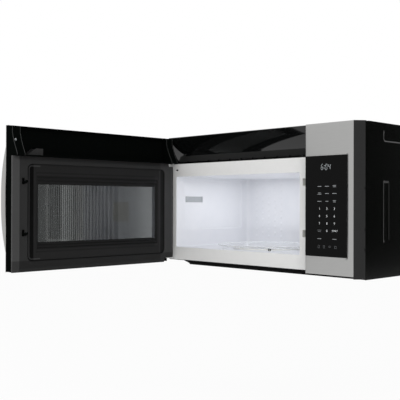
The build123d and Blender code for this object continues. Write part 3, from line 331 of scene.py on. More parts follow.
SIDE_RUN, ARC_RUN, BACK_RUN, RETURN_RUN = CAVITY[3] - SKIN_GAP - CORNER_R - CAVITY[2], 18.85, 481.4, 6
wall_s = stations(0, SIDE_RUN + 2 * ARC_RUN + BACK_RUN + RETURN_RUN, 10, (26, 31, 0.8), (310, 318, 0.8),
                  (SIDE_RUN - 1, SIDE_RUN + 20, 1.6), (SIDE_RUN + 45, SIDE_RUN + 180, 1.5),
                  (SIDE_RUN + ARC_RUN + 480, SIDE_RUN + 522, 1.6))
wall_z = stations(52.15, 280.85, 8, (52, 57, 0.5), (105, 111, 0.8), (267, 273, 0.8), (276, 281, 0.5),
                  (72, 272, 1.6))
wall_x, wall_y, wall_h = cavity_walls(*np.meshgrid(wall_s, wall_z, indexing="ij"))
surface("cavity_wall_skin", oven(wall_x, wall_y, wall_h), cavity_enamel, "cabinet", wall=0.2)

TRACK_CENTRE, TRACK_EDGE, TRACK_DEPTH, SHOULDER = (287.0, 211.0), 149.8, 3.0, 0.2
DRIVE_HOLE_R, SKIN_LIFT = 8, 0.15


def cavity_floor(s, angle):
    """Points of the floor skin: circles round the drive hole up to s = 1, where the roller track ends in a
    soft shoulder, and from there the circle widens until it is the floor's rectangle at s = 2."""
    x0, x1, y0, y1, z0, _ = CAVITY
    ray = np.stack([np.cos(angle), np.sin(angle)])
    room = np.where(ray[0] > 0, x1 - SKIN_GAP - TRACK_CENTRE[0], TRACK_CENTRE[0] - x0 - SKIN_GAP)
    depth = np.where(ray[1] > 0, y1 - SKIN_GAP - TRACK_CENTRE[1], TRACK_CENTRE[1] - y0)
    edge = np.minimum(room / np.maximum(np.abs(ray[0]), 1e-9), depth / np.maximum(np.abs(ray[1]), 1e-9))
    top = TRACK_EDGE + SHOULDER
    reach = np.where(s < 1, DRIVE_HOLE_R + s * (top - DRIVE_HOLE_R), top + (s - 1) * (edge - top))
    z = z0 + SKIN_LIFT - TRACK_DEPTH * soft_step(reach - TRACK_EDGE + 1.5, 3.0)
    return TRACK_CENTRE[0] + reach * ray[0], TRACK_CENTRE[1] + reach * ray[1], z


floor_s = np.concatenate([np.linspace(0, 0.96, 12), np.linspace(0.965, 1.0, 12), np.linspace(1.02, 2.0, 14)])
floor_corners = np.arctan2([173.7, 173.7, -173.6, -173.6], [252.7, -252.7, 252.7, -252.7])
floor_angle = np.unique(np.concatenate([np.linspace(-math.pi, math.pi, 145)[:-1], floor_corners]))
floor_x, floor_y, floor_h = cavity_floor(*np.meshgrid(floor_s, floor_angle, indexing="ij"))
surface("cavity_floor_skin", oven(floor_x, floor_y, floor_h), cavity_enamel, "cabinet",
        closed_v=True, wall=0.12)

# Mica is split into thin sheets, and its layers look faintly cloudy.
mottled("mica_sheet", ("waveguide_cover",), 6.0, "#cfccc2", "#dcdad2", detail=5.0, Roughness=0.5)

# A small bare foil plate on the left wall, matt grey.
PLATE_X, PLATE_Y, PLATE_Z = 32.75, (78.5, 157.6), (198, 217)
plate_finish, _ = mottled("grey_foil_plate", (), 3.0, "#a9adb1", "#b1b5b9", Roughness=0.5)
plate_y, plate_z = np.meshgrid(np.linspace(*PLATE_Y, 8), np.linspace(*PLATE_Z, 6), indexing="ij")
surface("cavity_plate", oven(PLATE_X, plate_y, plate_z), plate_finish, "cabinet", wall=0.4)


# --- Turntable ----------------------------------------------------------------------------------
# The tray is pressed clear glass with a raised rim, and it turns on a plastic hoop with
# three dark wheels. A three lobed plastic coupler drives it from below.

GLASS_PASSES = 0.94


def let_light_through(finish, shader):
    """Glass passes most of the light that falls on it. The renderer's bent rays seldom find a lamp behind
    glass, so that share of the light goes straight through."""
    path = add(finish, "ShaderNodeLightPath").outputs
    falls = add(finish, "ShaderNodeMath", {0: path["Is Shadow Ray"], 1: path["Is Diffuse Ray"]},
                operation="MAXIMUM").outputs[0]
    share = add(finish, "ShaderNodeMath", {0: falls, 1: GLASS_PASSES}, operation="MULTIPLY").outputs[0]
    clear = add(finish, "ShaderNodeBsdfTransparent", {"Color": (1, 1, 1, 1)}).outputs[0]
    add(finish, "ShaderNodeMixShader", {0: share, 1: shader.outputs[0], 2: clear},
        into=finish.node_tree.nodes["Material Output"].inputs["Surface"])


# Pressed glass is clear, a little green at its edges, with a fire polished face. The tray's
# ribs and ripples break it up, so it looks whiter and lets less be seen behind it.
oven_glass, oven_glass_shader = new_finish("pressed_clear_glass", Base_Color=to_linear("#f4f8f7"),
                                           Roughness=0.03, IOR=1.5, Transmission_Weight=1.0)
let_light_through(oven_glass, oven_glass_shader)
coat(oven_glass, "glass_tray", "window_glass", "lamp_lenses")
tray_glass, tray_glass_shader = new_finish("pressed_tray_glass", Base_Color=to_linear("#fbfdfd"),
                                           Roughness=0.06, IOR=1.45, Transmission_Weight=0.72)
let_light_through(tray_glass, tray_glass_shader)

# Acetal is moulded with a silky surface. The wheels are dyed dark grey.
mottled("white_acetal", ("drive_coupler", "roller_ring", "latch_board", "cavity_lamp", "fan_blade"), 8.0,
        "#e2e2de", "#ebebe8", Roughness=0.4)
mottled("dark_grey_acetal", ("tray_roller_1", "tray_roller_2", "tray_roller_3"), 3.0, "#1c1c1e", "#262627",
        Roughness=0.45)

TRAY_FOOT, RIB_DEPTH = 59.0, 5.0


def tray_profile(s):
    """Radius and height of the tray's section, as one closed line that starts under the middle: flat
    underside, curved rim with a round edge, and the upper face with a shallow well."""
    marks = np.array([0, 0.30, 0.42, 0.47, 0.495, 0.505, 0.53, 0.58, 0.70, 1.0])
    radius = np.interp(s, marks, [0.2, 146, 158, 166.6, 168, 167.4, 164.6, 157, 146, 0.2])
    height = np.interp(s, marks, [0.0, 0, 1.0, 4.0, 5.3, 6.1, 6.0, 4.4, 3.6, 3.6])
    return radius, height


tray_s = np.unique(np.concatenate([np.linspace(0, 1, 30), np.linspace(0.28, 0.72, 60)]))
tray_angle = np.linspace(0, 2 * math.pi, 161)[:-1]
ss, aa = np.meshgrid(tray_s, tray_angle, indexing="ij")
tray_r, tray_h = tray_profile(ss)
tray_x, tray_y = tray_r * np.cos(aa), tray_r * np.sin(aa)
third = (aa + math.pi / 6) % (2 * math.pi / 3) - math.pi / 2
rib_x, rib_y = tray_r * np.cos(third) - 20, tray_r * np.sin(third)
rib = soft_step(np.hypot(np.maximum(np.abs(rib_x) - 3.5, 0), rib_y) - 2.4, 1.0)
tray_h = TRAY_FOOT + tray_h - np.where(ss < 0.3, RIB_DEPTH * rib, 0)
tray_points = oven(TRACK_CENTRE[0] + tray_x, TRACK_CENTRE[1] + tray_y, tray_h)
tray = surface("glass_tray_surface", tray_points[:, ::-1], tray_glass, "turntable",
               closed_v=True, ends=True)
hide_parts("glass_tray")


# --- Vent ---------------------------------------------------------------------------------------
# The fascia over the oven is moulded gloss black styrene. It leans back more and more
# towards its foot, so that air can pass behind the door. It has a mirror gloss and no
# grain. Short ribs stand on the frame in the slot below it.

gloss_black, gloss_shader = new_finish("gloss_black_styrene", Base_Color=to_linear("#070808"), Roughness=0.05,
                                       Specular_IOR_Level=0.5)
textured(gloss_black, gloss_shader, 60.0, 0.01)
coat(gloss_black, "vent_fascia")

FASCIA_X = (4.0, 586.0)
FASCIA_TOP, FASCIA_FRONT = 409.0, 28.5
HOLLOW_R = 191.0
LEAN_TOP, LEAN_MOST, LEAN_FOOT = (math.radians(v) for v in (13.3, 31.0, 39.1))
FASCIA_WALL = 2.5


def fascia_section(wall, lean):
    """The fascia's line, wall behind its face: an arc of a circle that leans back further towards its
    foot, given by the lean at each point, and a straight line on from where it leans the most."""
    turn, tail = np.minimum(lean, LEAN_MOST), HOLLOW_R * np.maximum(lean - LEAN_MOST, 0)
    y = FASCIA_FRONT + HOLLOW_R * math.cos(LEAN_TOP) - (HOLLOW_R - wall) * np.cos(turn) + tail * np.sin(turn)
    z = FASCIA_TOP - 1 + HOLLOW_R * math.sin(LEAN_TOP) - (HOLLOW_R - wall) * np.sin(turn) - tail * np.cos(turn)
    return y, z


face_y, face_z = fascia_section(0, np.linspace(LEAN_TOP, LEAN_FOOT, 60))
inner_y, inner_z = fascia_section(FASCIA_WALL, np.linspace(LEAN_FOOT, LEAN_TOP + 0.03, 20))
top_y = FASCIA_FRONT + np.array([28.5, 28.5, 4.0, 3.0, 1.6, 0.6, 0.1])
top_z = FASCIA_TOP + np.array([-3.0, 0.0, 0.0, 0.0, -0.1, -0.4, -0.8])
fascia_y = np.concatenate([top_y, face_y[1:], inner_y])
fascia_z = np.concatenate([top_z, face_z[1:], inner_z])
fascia_x = stations(*FASCIA_X, 24)
fascia = surface("vent_fascia_moulding", oven(fascia_x[:, None], fascia_y[None, :], fascia_z[None, :])[:, ::-1],
                 gloss_black, "cabinet", closed_v=True, ends=True)
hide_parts("vent_fascia")


def blocks(name, first, last, finish, body, soften=0.0):
    """Closed blocks between pairs of opposite corners, as one piece. soften rounds their edges, in mm."""
    low, high = np.minimum(first, last), np.maximum(first, last)
    pick = np.array([[0, 0, 0], [1, 0, 0], [1, 1, 0], [0, 1, 0], [0, 0, 1], [1, 0, 1], [1, 1, 1], [0, 1, 1]])
    corners = low[:, None] * (1 - pick) + high[:, None] * pick
    sides = np.array([[0, 3, 2, 1], [4, 5, 6, 7], [0, 1, 5, 4], [1, 2, 6, 5], [2, 3, 7, 6], [3, 0, 4, 7]])
    faces = (sides + 8 * np.arange(len(low))[:, None, None]).reshape(-1, 4)
    piece = make_piece(name, corners, faces.tolist(), finish, body, smooth=False)
    if soften:
        edge = piece.modifiers.new("soft_edges", "BEVEL")
        edge.width = soften / 1000
        edge.segments = 2
    return piece


RIB_FIRST, RIB_STEP, RIB_COUNT, RIB_WIDTH = 10, 47.0, 13, 2.5
vent_rib_x = RIB_FIRST + RIB_STEP * np.arange(RIB_COUNT)
blocks("vent_ribs", oven(vent_rib_x, 62.4, 322.05), oven(vent_rib_x + RIB_WIDTH, 65.6, 331.4), gloss_black,
       "cabinet", soften=0.3)


# --- Control panel ------------------------------------------------------------------------------
# A stainless skin with folded edges is wrapped round a moulded black box. Its face is
# brushed sideways, and a dark glass with the touch keys lies flush in it. The keys are
# white print: plain numbers, one start key, and bars in the place of other words.

def brushed(name, nodes, line_mm, stretch, dark, light, roughness):
    """Stainless steel brushed one way: patches of line_mm, stretched fifty times along the brushing, tint it
    and stand out by a few microns. Real lines are finer, but wouldn't show."""
    finish, shader = new_finish(name, Metallic=1.0, Roughness=roughness)
    lines = patches(finish, line_mm, detail=3.0, stretch=stretch)
    add(finish, "ShaderNodeMix", {"Factor": lines, 6: to_linear(dark), 7: to_linear(light)},
        into=shader.inputs["Base Color"], output=2, data_type="RGBA")
    add(finish, "ShaderNodeBump", {"Height": lines, "Distance": 0.003 / 1000}, into=shader.inputs["Normal"])
    coat(finish, *nodes)
    return finish


brushed_steel = brushed("brushed_stainless", ("control_skin", "door_skin"), 0.8, (0.02, 0.02, 1), "#a6a6a5",
                        "#b4b4b3", 0.33)

# The glass is printed black on its back, so it looks deep black, with a soft ripple in what
# it mirrors. Its reflection is weakened to the photographed level.
panel_glass, panel_glass_shader = new_finish("printed_black_glass", Base_Color=to_linear("#070707"),
                                             Roughness=0.1, Specular_IOR_Level=0.07)
textured(panel_glass, panel_glass_shader, 80.0, 0.01)
coat(panel_glass, "control_glass")

# ABS mouldings, fine grained by the mould, so they look dull. The corner strip is charcoal.
moulded_black, moulded_shader = mottled(
    "moulded_black_plastic", ("control_carrier", "cord_grommet", "fan_housing", "choke_cover",
                              "interlock_switches"), 10.0, "#202020", "#242424", Roughness=0.5,
    Specular_IOR_Level=0.4)
textured(moulded_black, moulded_shader, 0.9, 0.01)
mottled("charcoal_plastic", ("control_end_cap",), 10.0, "#1d1d1d", "#212121", Roughness=0.5,
        Specular_IOR_Level=0.25)

PANEL = (587.0, 739.0, 7.7, 407.0)
PANEL_OPENING = (720.0, 55.0, 321.0)
FOLD_R = 1.4


def fold(length, back_first, back_last):
    """Position along a folded sheet's face and depth behind it: back_first deep at the first edge, round
    the fold, flat across the face, and back again. Each fold is a quarter circle."""
    bend = np.linspace(0, math.pi / 2, 6)
    face = np.arange(FOLD_R + 4, length - FOLD_R - 3, 6.0)
    along = np.concatenate([[0, 0], FOLD_R * (1 - np.cos(bend)), face,
                            length - FOLD_R * (1 - np.cos(bend[::-1])), [length, length]])
    depth = np.concatenate([[back_first, FOLD_R + 0.3], FOLD_R * (1 - np.sin(bend)), 0 * face,
                            FOLD_R * (1 - np.sin(bend[::-1])), [FOLD_R + 0.3, back_last]])
    return along, depth


def folded_skin(name, place, size, opening, backs, finish, body):
    """A sheet with its four edges folded back and an opening that runs out to its right hand edge (or from
    it, when the opening lies left of it). place puts x, depth and z where the sheet stands."""
    x0, x1, z0, z1 = size
    side, low, high, leftwards = opening
    along, depth_x = fold(x1 - x0, backs[0], backs[1])
    up, depth_z = fold(z1 - z0, backs[2], backs[3])
    along, up = along + x0, up + z0
    along[np.argmin(np.abs(along - side))] = side
    up[np.argmin(np.abs(up - low))] = low
    up[np.argmin(np.abs(up - high))] = high
    xx, zz = np.meshgrid(along, up, indexing="ij")
    depth = np.maximum(depth_x[:, None], depth_z[None, :])
    mid_x, mid_z = (xx[1:, 1:] + xx[:-1, :-1]) / 2, (zz[1:, 1:] + zz[:-1, :-1]) / 2
    beside = mid_x < side if leftwards else mid_x > side
    hole = beside & (mid_z > low) & (mid_z < high)
    return surface(name, place(xx, depth, zz), finish, body, keep=~hole, wall=0.8)


panel_skin = folded_skin("control_panel_skin", oven, PANEL, (*PANEL_OPENING, True), (8, 1.8, 10, 10),
                         brushed_steel, "cabinet")
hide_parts("control_skin")

# Screen printed inks behind the glass: flat, matt and of one tone, and the lit display.
key_print, _ = new_finish("white_key_print", Roughness=0.6, Base_Color=to_linear("#dadddf"))
label_print, _ = new_finish("light_grey_key_print", Roughness=0.6, Base_Color=to_linear("#939698"))
faint_print, _ = new_finish("grey_key_print", Roughness=0.6, Base_Color=to_linear("#5b5d5f"))
lit_segments, _ = new_finish("lit_display_segments", Roughness=0.6, Base_Color=to_linear("#c4cacd"),
                             Emission_Color=to_linear("#dfe8ee"), Emission_Strength=0.12)
KEY_COLUMNS = (633.0, 657.0, 680.6)
PRINT_DEPTH = -0.06
FONT_PER_CAP = 1.42
KEY_LINE = 0.7


def panel_bars(name, bars, finish):
    """Flat bars on the glass: middle x, middle z, width, height."""
    x, z, wide, high = np.array(bars, float).T
    return blocks(name, oven(x - wide / 2, PRINT_DEPTH, z - high / 2), oven(x + wide / 2, -0.01, z + high / 2),
                  finish, "cabinet")


left, middle, right = KEY_COLUMNS
panel_bars("key_label_bars", [
    (left, 240, 12, 1.3), (middle, 240, 13, 1.3), (right, 241.8, 11, 1.2), (right, 238.4, 9, 1.2),
    (left, 222.6, 9, 1.2), (left, 219.2, 12, 1.2), (middle, 221, 12, 1.3), (right, 221, 13, 1.3),
    (left, 200.6, 13, 1.3), (middle, 200.6, 9, 1.3), (right, 202.3, 10, 1.2), (right, 198.9, 8, 1.2),
    (left, 102, 12, 1.3), (right, 102, 13, 1.3)], label_print)
panel_bars("faint_label_bars", [(left, 124.5, 12, 1.3), (left, 120.8, 9, 1.3)], faint_print)


def words(name, marks, finish):
    """Characters of the key field, each a text turned into a mesh: its string, middle x, middle z and
    height in millimetres."""
    corners, faces, start = [], [], 0
    for text, x, z, high in marks:
        letter = bpy.data.curves.new(name, "FONT")
        letter.body, letter.size, letter.align_x, letter.align_y = text, high * FONT_PER_CAP, "CENTER", "CENTER"
        letter.resolution_u = 3
        holder = bpy.data.objects.new(name, letter)
        mesh = bpy.data.meshes.new_from_object(holder)
        spots = np.zeros(len(mesh.vertices) * 3)
        mesh.vertices.foreach_get("co", spots)
        spots = spots.reshape(-1, 3)
        corners.append(oven(x + spots[:, 0], PRINT_DEPTH, z + spots[:, 1]))
        faces += [[start + v for v in p.vertices] for p in mesh.polygons]
        start += len(spots)
        bpy.data.objects.remove(holder)
    return make_piece(name, np.concatenate(corners), faces, finish, "cabinet", smooth=False)


DIGIT_ROWS, DIGIT_HIGH = (181.0, 161.6, 142.2), 6.0
digits = [(str(3 * row + column + 1), KEY_COLUMNS[column], DIGIT_ROWS[row], DIGIT_HIGH)
          for row in range(3) for column in range(3)]
digits += [("0", middle, 123.0, DIGIT_HIGH), ("START", right + 1, 123.0, 4.4)]
words("key_digits", digits, key_print)
icons = [(631.0, 81, 5.0, 6.5), (648.0, 81, 4.0, 6.5), (665.8, 82, 5.0, 3.5), (684.0, 81, 6.0, 5.5)]
icon_x, icon_z, icon_w, icon_h = np.array(icons).T
line = np.full(len(icons), KEY_LINE)
flat_bars = [np.stack([icon_x, icon_z + end * icon_h / 2, icon_w, line], axis=1) for end in (-1, 1)]
upright_bars = [np.stack([icon_x + end * icon_w / 2, icon_z, line, icon_h], axis=1) for end in (-1, 1)]
panel_bars("faint_key_frames", np.concatenate(flat_bars + upright_bars), faint_print)

SEGMENTS = np.array([(0, 1, 0), (-1, 0.5, 1), (1, 0.5, 1), (0, 0, 0), (-1, -0.5, 1), (1, -0.5, 1), (0, -1, 0)],
                    float)
LIT = {"6": (0, 1, 3, 4, 5, 6), "0": (0, 1, 2, 4, 5, 6), "4": (1, 2, 3, 5)}
GLYPH_W, GLYPH_H, STROKE, SLANT, GLYPH_Z = 6.4, 15.0, 0.7, 0.10, 290.8


def glyph(character, x, z):
    """The lit bars of one seven segment character: middle x, middle z, width, height."""
    parts = SEGMENTS[list(LIT[character])]
    stands = parts[:, 2]
    mid_z = z + parts[:, 1] * (GLYPH_H - STROKE) / 2
    mid_x = x + parts[:, 0] * (GLYPH_W - STROKE) / 2 + SLANT * (mid_z - z)
    wide, high = np.where(stands, STROKE, GLYPH_W - 2), np.where(stands, GLYPH_H / 2 - 2, STROKE)
    return np.stack([mid_x, mid_z, wide, high], axis=1)


clock = [glyph(character, x, GLYPH_Z) for character, x in (("6", 641.6), ("0", 654.6), ("4", 664.6))]
colon = [(648.6, 294, 1.3, 1.3), (648.2, 287.6, 1.3, 1.3)]
panel_bars("display_digits", np.concatenate(clock + [colon]), lit_segments)


# --- Door ---------------------------------------------------------------------------------------
# The door is a moulded frame of matt black plastic with a tinted outer pane, a black steel
# screen with small holes, and a clear inner pane. Above the cover its body is an open
# tray, with a hollow post at each end. A stainless skin is folded round its face.

# The moulding is eroded to a matt grain that swallows light. The tinted pane is float glass,
# and the post edges are rubbed smooth, so that a thin line of light runs down them.
tray_black, tray_shader = mottled("matt_black_moulding", ("door_frame", "door_end_cap", "latch_bar"), 12.0,
                                  "#060807", "#090b0a", Roughness=0.5, Specular_IOR_Level=0.0)
textured(tray_black, tray_shader, 0.9, 0.003)

tinted_glass, _ = new_finish("tinted_glass", Base_Color=to_linear("#c5c6c6"), Roughness=0.0, IOR=1.5,
                             Transmission_Weight=1.0)
coat(tinted_glass, "door_glass")

DOOR_CORNER = (381.0, 168.5)


def door(x, t, z):
    """Points of the open door in metres: x from its hinge edge in millimetres, t from its outer face into
    its thickness, z up."""
    x, t, z = np.broadcast_arrays(x, t, z)
    return np.stack([t - DOOR_CORNER[0], -DOOR_CORNER[1] - x, z], axis=-1) / 1000


DOOR_FRONT = -8.0
DOOR_FACE, DOOR_OPENING = (12.4, 585.5, 5.0, 407.0), (40.0, 55.0, 321.0)
PANE_X, PANE_T, PANE_Z = (40.6, 584.8), (DOOR_FRONT + 0.3, DOOR_FRONT + 3.4), (55.6, 320.4)
door_face = folded_skin("door_face_skin", lambda x, depth, z: door(x, depth + DOOR_FRONT, z), DOOR_FACE,
                        (*DOOR_OPENING, False), (1.8, 1.8, 5.5, 10), brushed_steel, "door")
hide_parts("door_skin")
pane_first, pane_last = (door([PANE_X[end]], [PANE_T[end]], [PANE_Z[end]]) for end in (0, 1))
pane = blocks("outer_pane", pane_first, pane_last, tinted_glass, "door", soften=0.3)
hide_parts("door_glass")


def rounded_loop(x0, x1, z0, z1, radius, per_corner=8):
    """Points round a rectangle with rounded corners, from its lower left corner on, anticlockwise."""
    angle = np.linspace(0, math.pi / 2, per_corner)
    turn = np.concatenate([angle + k * math.pi / 2 for k in (2, 3, 0, 1)])
    centre_x = np.repeat([x0 + radius, x1 - radius, x1 - radius, x0 + radius], per_corner)
    centre_z = np.repeat([z0 + radius, z0 + radius, z1 - radius, z1 - radius], per_corner)
    return centre_x + radius * np.cos(turn), centre_z + radius * np.sin(turn)


rim_x, rim_z = rounded_loop(12.9, 585.0, 5.6, 406.4, 1.2)
rim_t = np.array([DOOR_FRONT + 0.9, -4.0, 0.0, 1.6])
surface("door_rim", door(rim_x[None, :], rim_t[:, None], rim_z[None, :]), tray_black, "door",
        closed_v=True, wall=2.2)

POST_Z = np.array([404.2, 386.0, 372.0, 350.0, 328.0, 323.2])
POST_T = np.array([26.0, 26.0, 30.0, 40.0, 52.0, 52.0])
POST_ROLL = 1.3


def post_face(name, x0, x1):
    """Slanting face of an end post of the tray: the side line of the tray across the post's width, rolled
    back by a small radius along both edges."""
    z = np.unique(np.concatenate([np.linspace(323.2, 404.2, 40), POST_Z]))
    roll = np.linspace(math.pi / 2, 0, 6)
    reach, fall = POST_ROLL * (1 - np.sin(roll)), POST_ROLL * (1 - np.cos(roll))
    across = np.concatenate([x0 + reach, np.linspace(x0 + 3, x1 - 3, 5), x1 - reach[::-1]])
    drop = np.concatenate([fall, np.zeros(5), fall[::-1]])
    lean = np.interp(z, POST_Z[::-1], POST_T[::-1])
    return surface(name, door(across[None, :], lean[:, None] + 0.5 - drop[None, :], z[:, None]), tray_black,
                   "door", wall=0.4)


post_face("free_post_face", 560.1, 585.4)
post_face("hinge_post_face", 2.1, 27.4)

edge_gloss, edge_shader = new_finish("worn_glossy_edge", Base_Color=to_linear("#161817"), Roughness=0.18,
                                     Specular_IOR_Level=0.6)
textured(edge_gloss, edge_shader, 20.0, 0.005)


POST_EDGES, EDGE_R = (3.0, 26.6, 561.0, 584.6), 0.7


def post_edge(name, x):
    """Round edge of a post: a small circle carried down the side line of the tray."""
    z = np.linspace(323.6, 403.8, 40)
    turn = np.linspace(0, 2 * math.pi, 13)[:-1]
    lean = np.interp(z, POST_Z[::-1], POST_T[::-1])
    points = door(x + EDGE_R * np.cos(turn)[None, :], lean[:, None] + 0.2 + EDGE_R * np.sin(turn)[None, :],
                  z[:, None])
    return surface(name, points[:, ::-1], edge_gloss, "door", closed_v=True, ends=True)


for number, edge_x in enumerate(POST_EDGES):
    post_edge(f"post_edge_{number + 1}", edge_x)

SCREW_PLACE, SCREW_R, SCREW_RISE, CROSS_DEPTH = (579.6, 34.8, 366.0), 3.4, 1.5, 0.8


def screw_head(name, x, t, z):
    """Pan head: rings of a flattened dome round its middle, with a cross pressed into it."""
    reach, turn = np.meshgrid(np.linspace(0.02, 1, 12), np.linspace(0, 2 * math.pi, 49)[:-1], indexing="ij")
    arm = np.minimum(np.abs(np.sin(turn)), np.abs(np.cos(turn))) * reach * SCREW_R
    rise = SCREW_RISE * np.sqrt(np.clip(1 - reach ** 2, 0, 1))
    rise = rise - CROSS_DEPTH * soft_step(arm - 0.35, 0.3) * soft_step(reach - 0.62, 0.1)
    points = door(x + SCREW_R * reach * np.cos(turn), t + rise, z + SCREW_R * reach * np.sin(turn))
    return surface(name, points[:, ::-1], zinc_sheet, "door", closed_v=True, ends=True)


screw_head("post_screw_head", *SCREW_PLACE)


# --- Inner cover of the door --------------------------------------------------------------------
# One black ABS moulding covers the inside of the door, with a fine satin texture. Its
# edges are bevelled, a step with rounded corners goes round it, and its frame falls to the
# window in two terraces. Its colour carries painted shade, darker in the recess and in lines
# along the step and terraces, and painted light on the free end's bevel and narrow ledges.

cover_plastic, cover_shader = new_finish("satin_black_abs", Roughness=0.46, Specular_IOR_Level=0.1)
# The base colour runs from black to grey by the painted light and shade stored on the points.
cover_painted_tone = add(cover_plastic, "ShaderNodeAttribute", attribute_name="painted_tone").outputs["Fac"]
add(cover_plastic, "ShaderNodeMix", {"Factor": cover_painted_tone, 6: to_linear("#000000"), 7: to_linear("#606060")},
    into=cover_shader.inputs["Base Color"], output=2, data_type="RGBA")
textured(cover_plastic, cover_shader, 0.8, 0.012)

COVER = (4.0, 585.5, 5.0, 323.0)
STEP, STEP_CORNER = (42.5, 541.0, 34.0, 302.0), 14
SLOPE = (65.0, 514.0, 57.0, 281.0)
WINDOW = (75.0, 504.0, 85.0, 246.0)
COVER_FACE, STEP_DEPTH, WINDOW_DEPTH, FREE_BEVEL = 34.0, 3.5, 9.0, 566.5
TERRACES = (0.43, 0.71)


def cover_parts(x, z):
    """The shares that make the cover's depth: how far it is bevelled at its edges in mm, how much of the
    step and of the two terraces has been taken, and the way down the slope from 0 to 1."""
    bevel = np.maximum.reduce([(x - FREE_BEVEL) * 3.4 / 19, (11 - x) * 3 / 7, (14 - z) * 3 / 9,
                               (z - 312) * 3 / 11, 0 * x])
    step = soft_step(round_box(x, z, *STEP, STEP_CORNER), 2.2)
    down = np.minimum.reduce([(x - SLOPE[0]) / (WINDOW[0] - SLOPE[0]), (SLOPE[1] - x) / (SLOPE[1] - WINDOW[1]),
                              (z - SLOPE[2]) / (WINDOW[2] - SLOPE[2]), (SLOPE[3] - z) / (SLOPE[3] - WINDOW[3])])
    down = np.clip(down, 0, 1)
    upper, lower = (soft_step(edge - down, 0.12) for edge in TERRACES)
    terraces = 0.15 * down + 0.40 * upper + 0.45 * lower
    return bevel, step, terraces, down


def cover_depth(x, z):
    """Height of the cover over the door's outer face: the plain face less bevel, step and terraces."""
    bevel, step, terraces, _ = cover_parts(x, z)
    return COVER_FACE - bevel - STEP_DEPTH * step - (WINDOW_DEPTH - STEP_DEPTH) * terraces


def ridge(distance, width):
    """1 where the distance is 0, falling off like a bell on both sides."""
    return np.exp(-(distance / width) ** 2)


def cover_painted_light(x, z):
    """Painted light and shade on the cover, from 0 to 1: a painted highlight on the free end's bevel, on two
    narrow ledges and on the step's lip, painted shade in the recess, and darkest painted shade in lines along
    the step and the terraces."""
    _, step, _, down = cover_parts(x, z)
    inside, from_step = step > 0.5, round_box(x, z, *STEP, STEP_CORNER)
    # Painted light and shade: lighter on the free end's bevel and at the hinge end outside the step, darker in
    # the recess, near black in the recess at the free end, and darker along the foot, in the hinge end of the
    # recess and on the slope.
    painted_tone = 0.22 - 0.09 * step + 0.24 * (x > FREE_BEVEL) + 0.12 * (x < 60) * (step < 0.5)
    painted_tone = painted_tone * np.where(step * (x > 521) > 0.5, 0.05, 1.0) * np.where(z < 36, 0.6, 1.0)
    painted_tone = painted_tone * np.where((x < 56) & inside, 0.5, 1.0)
    painted_tone = painted_tone * np.where((x > 80) & (down > 0) & (down < 1), 0.7, 1.0)
    # Painted shade in lines along the step and the terraces, and painted highlights on two ledges and on the
    # lip of the step at the free end.
    lines = sum(ridge(down - edge, 0.06) for edge in TERRACES)
    dark = (1 - 0.9 * ridge(from_step + 0.6, 1.5)) * (1 - 0.9 * np.clip(lines, 0, 1))
    painted_ledge_highlight = 0.9 * ridge(x - 60, 2.0) * inside + 0.5 * ridge(down - 0.22, 0.07)
    painted_lip_highlight = ridge(from_step + 5.5, 1.2) * (x > 500)
    return np.clip(painted_tone * dark * (1 + painted_ledge_highlight) + 0.35 * painted_lip_highlight, 0, 1)


cover_x = stations(*COVER[:2], 7, (4, 12, 1.0), (20, 24, 1), (39, 58, 0.9), (62, 80, 0.7), (499, 519, 0.7),
                   (520, 545, 0.9), (548, 562, 1), (564, 569, 0.8))
cover_z = stations(*COVER[2:], 7, (5, 21, 1), (30, 52, 0.9), (56, 90, 1.2), (100, 124, 1), (242, 306, 1.0),
                   (310, 323, 1))
xx, zz = np.meshgrid(cover_x, cover_z, indexing="ij")
height = cover_depth(xx, zz)
xx, zz = np.pad(xx, 1, mode="edge"), np.pad(zz, 1, mode="edge")
height = np.pad(height, 1, constant_values=22.8)
mid_x, mid_z = (xx[1:, 1:] + xx[:-1, :-1]) / 2, (zz[1:, 1:] + zz[:-1, :-1]) / 2
HOOK_X, TOP_NOTCH, FOOT_NOTCH = (551, 559), (0, 22.5, 312.5, 321.5), (0, 41, 0, 19.5)
openings = [WINDOW, TOP_NOTCH, FOOT_NOTCH] + [(*HOOK_X, *ends) for ends in HOOK_SLOTS]
gone = np.any([(mid_x > x0) & (mid_x < x1) & (mid_z > z0) & (mid_z < z1)
               for x0, x1, z0, z1 in openings], axis=0)
cover = surface("door_inner_cover", door(xx, height, zz)[:, ::-1], cover_plastic, "door",
                keep=~gone[:, ::-1], wall=1.2)


def paint(piece, name, values):
    """Stores one value at each point for the piece's finish."""
    piece.data.attributes.new(name, "FLOAT", "POINT").data.foreach_set("value", values.ravel())


# The cover's colour is painted light and shade, stored on its points.
paint(cover, "painted_tone", cover_painted_light(xx, zz)[:, ::-1])
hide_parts("choke_cover")


# --- Window screen of the door ------------------------------------------------------------------
# Steel sheet with close rows of small holes, painted black. Light passes the holes, and
# where their rows cross their own mirror image in the panes, upright bands appear that
# widen towards the hinge.

SCREEN_PAINT = {"Base_Color": to_linear("#0b0b0b"), "Roughness": 0.6, "Specular_IOR_Level": 0.2}
screen_paint, _ = new_finish("painted_perforated_screen", **SCREEN_PAINT)
coat(screen_paint, "door_inner_panel")
holes, holes_shader = new_finish("screen_with_holes", **SCREEN_PAINT)
open_share_and_painted_moire = add(holes, "ShaderNodeAttribute", attribute_name="open_share_and_painted_moire").outputs["Fac"]
clear = add(holes, "ShaderNodeBsdfTransparent", {"Color": (1, 1, 1, 1)}).outputs[0]
add(holes, "ShaderNodeMixShader", {0: open_share_and_painted_moire, 1: holes_shader.outputs[0], 2: clear},
    into=holes.node_tree.nodes["Material Output"].inputs["Surface"])


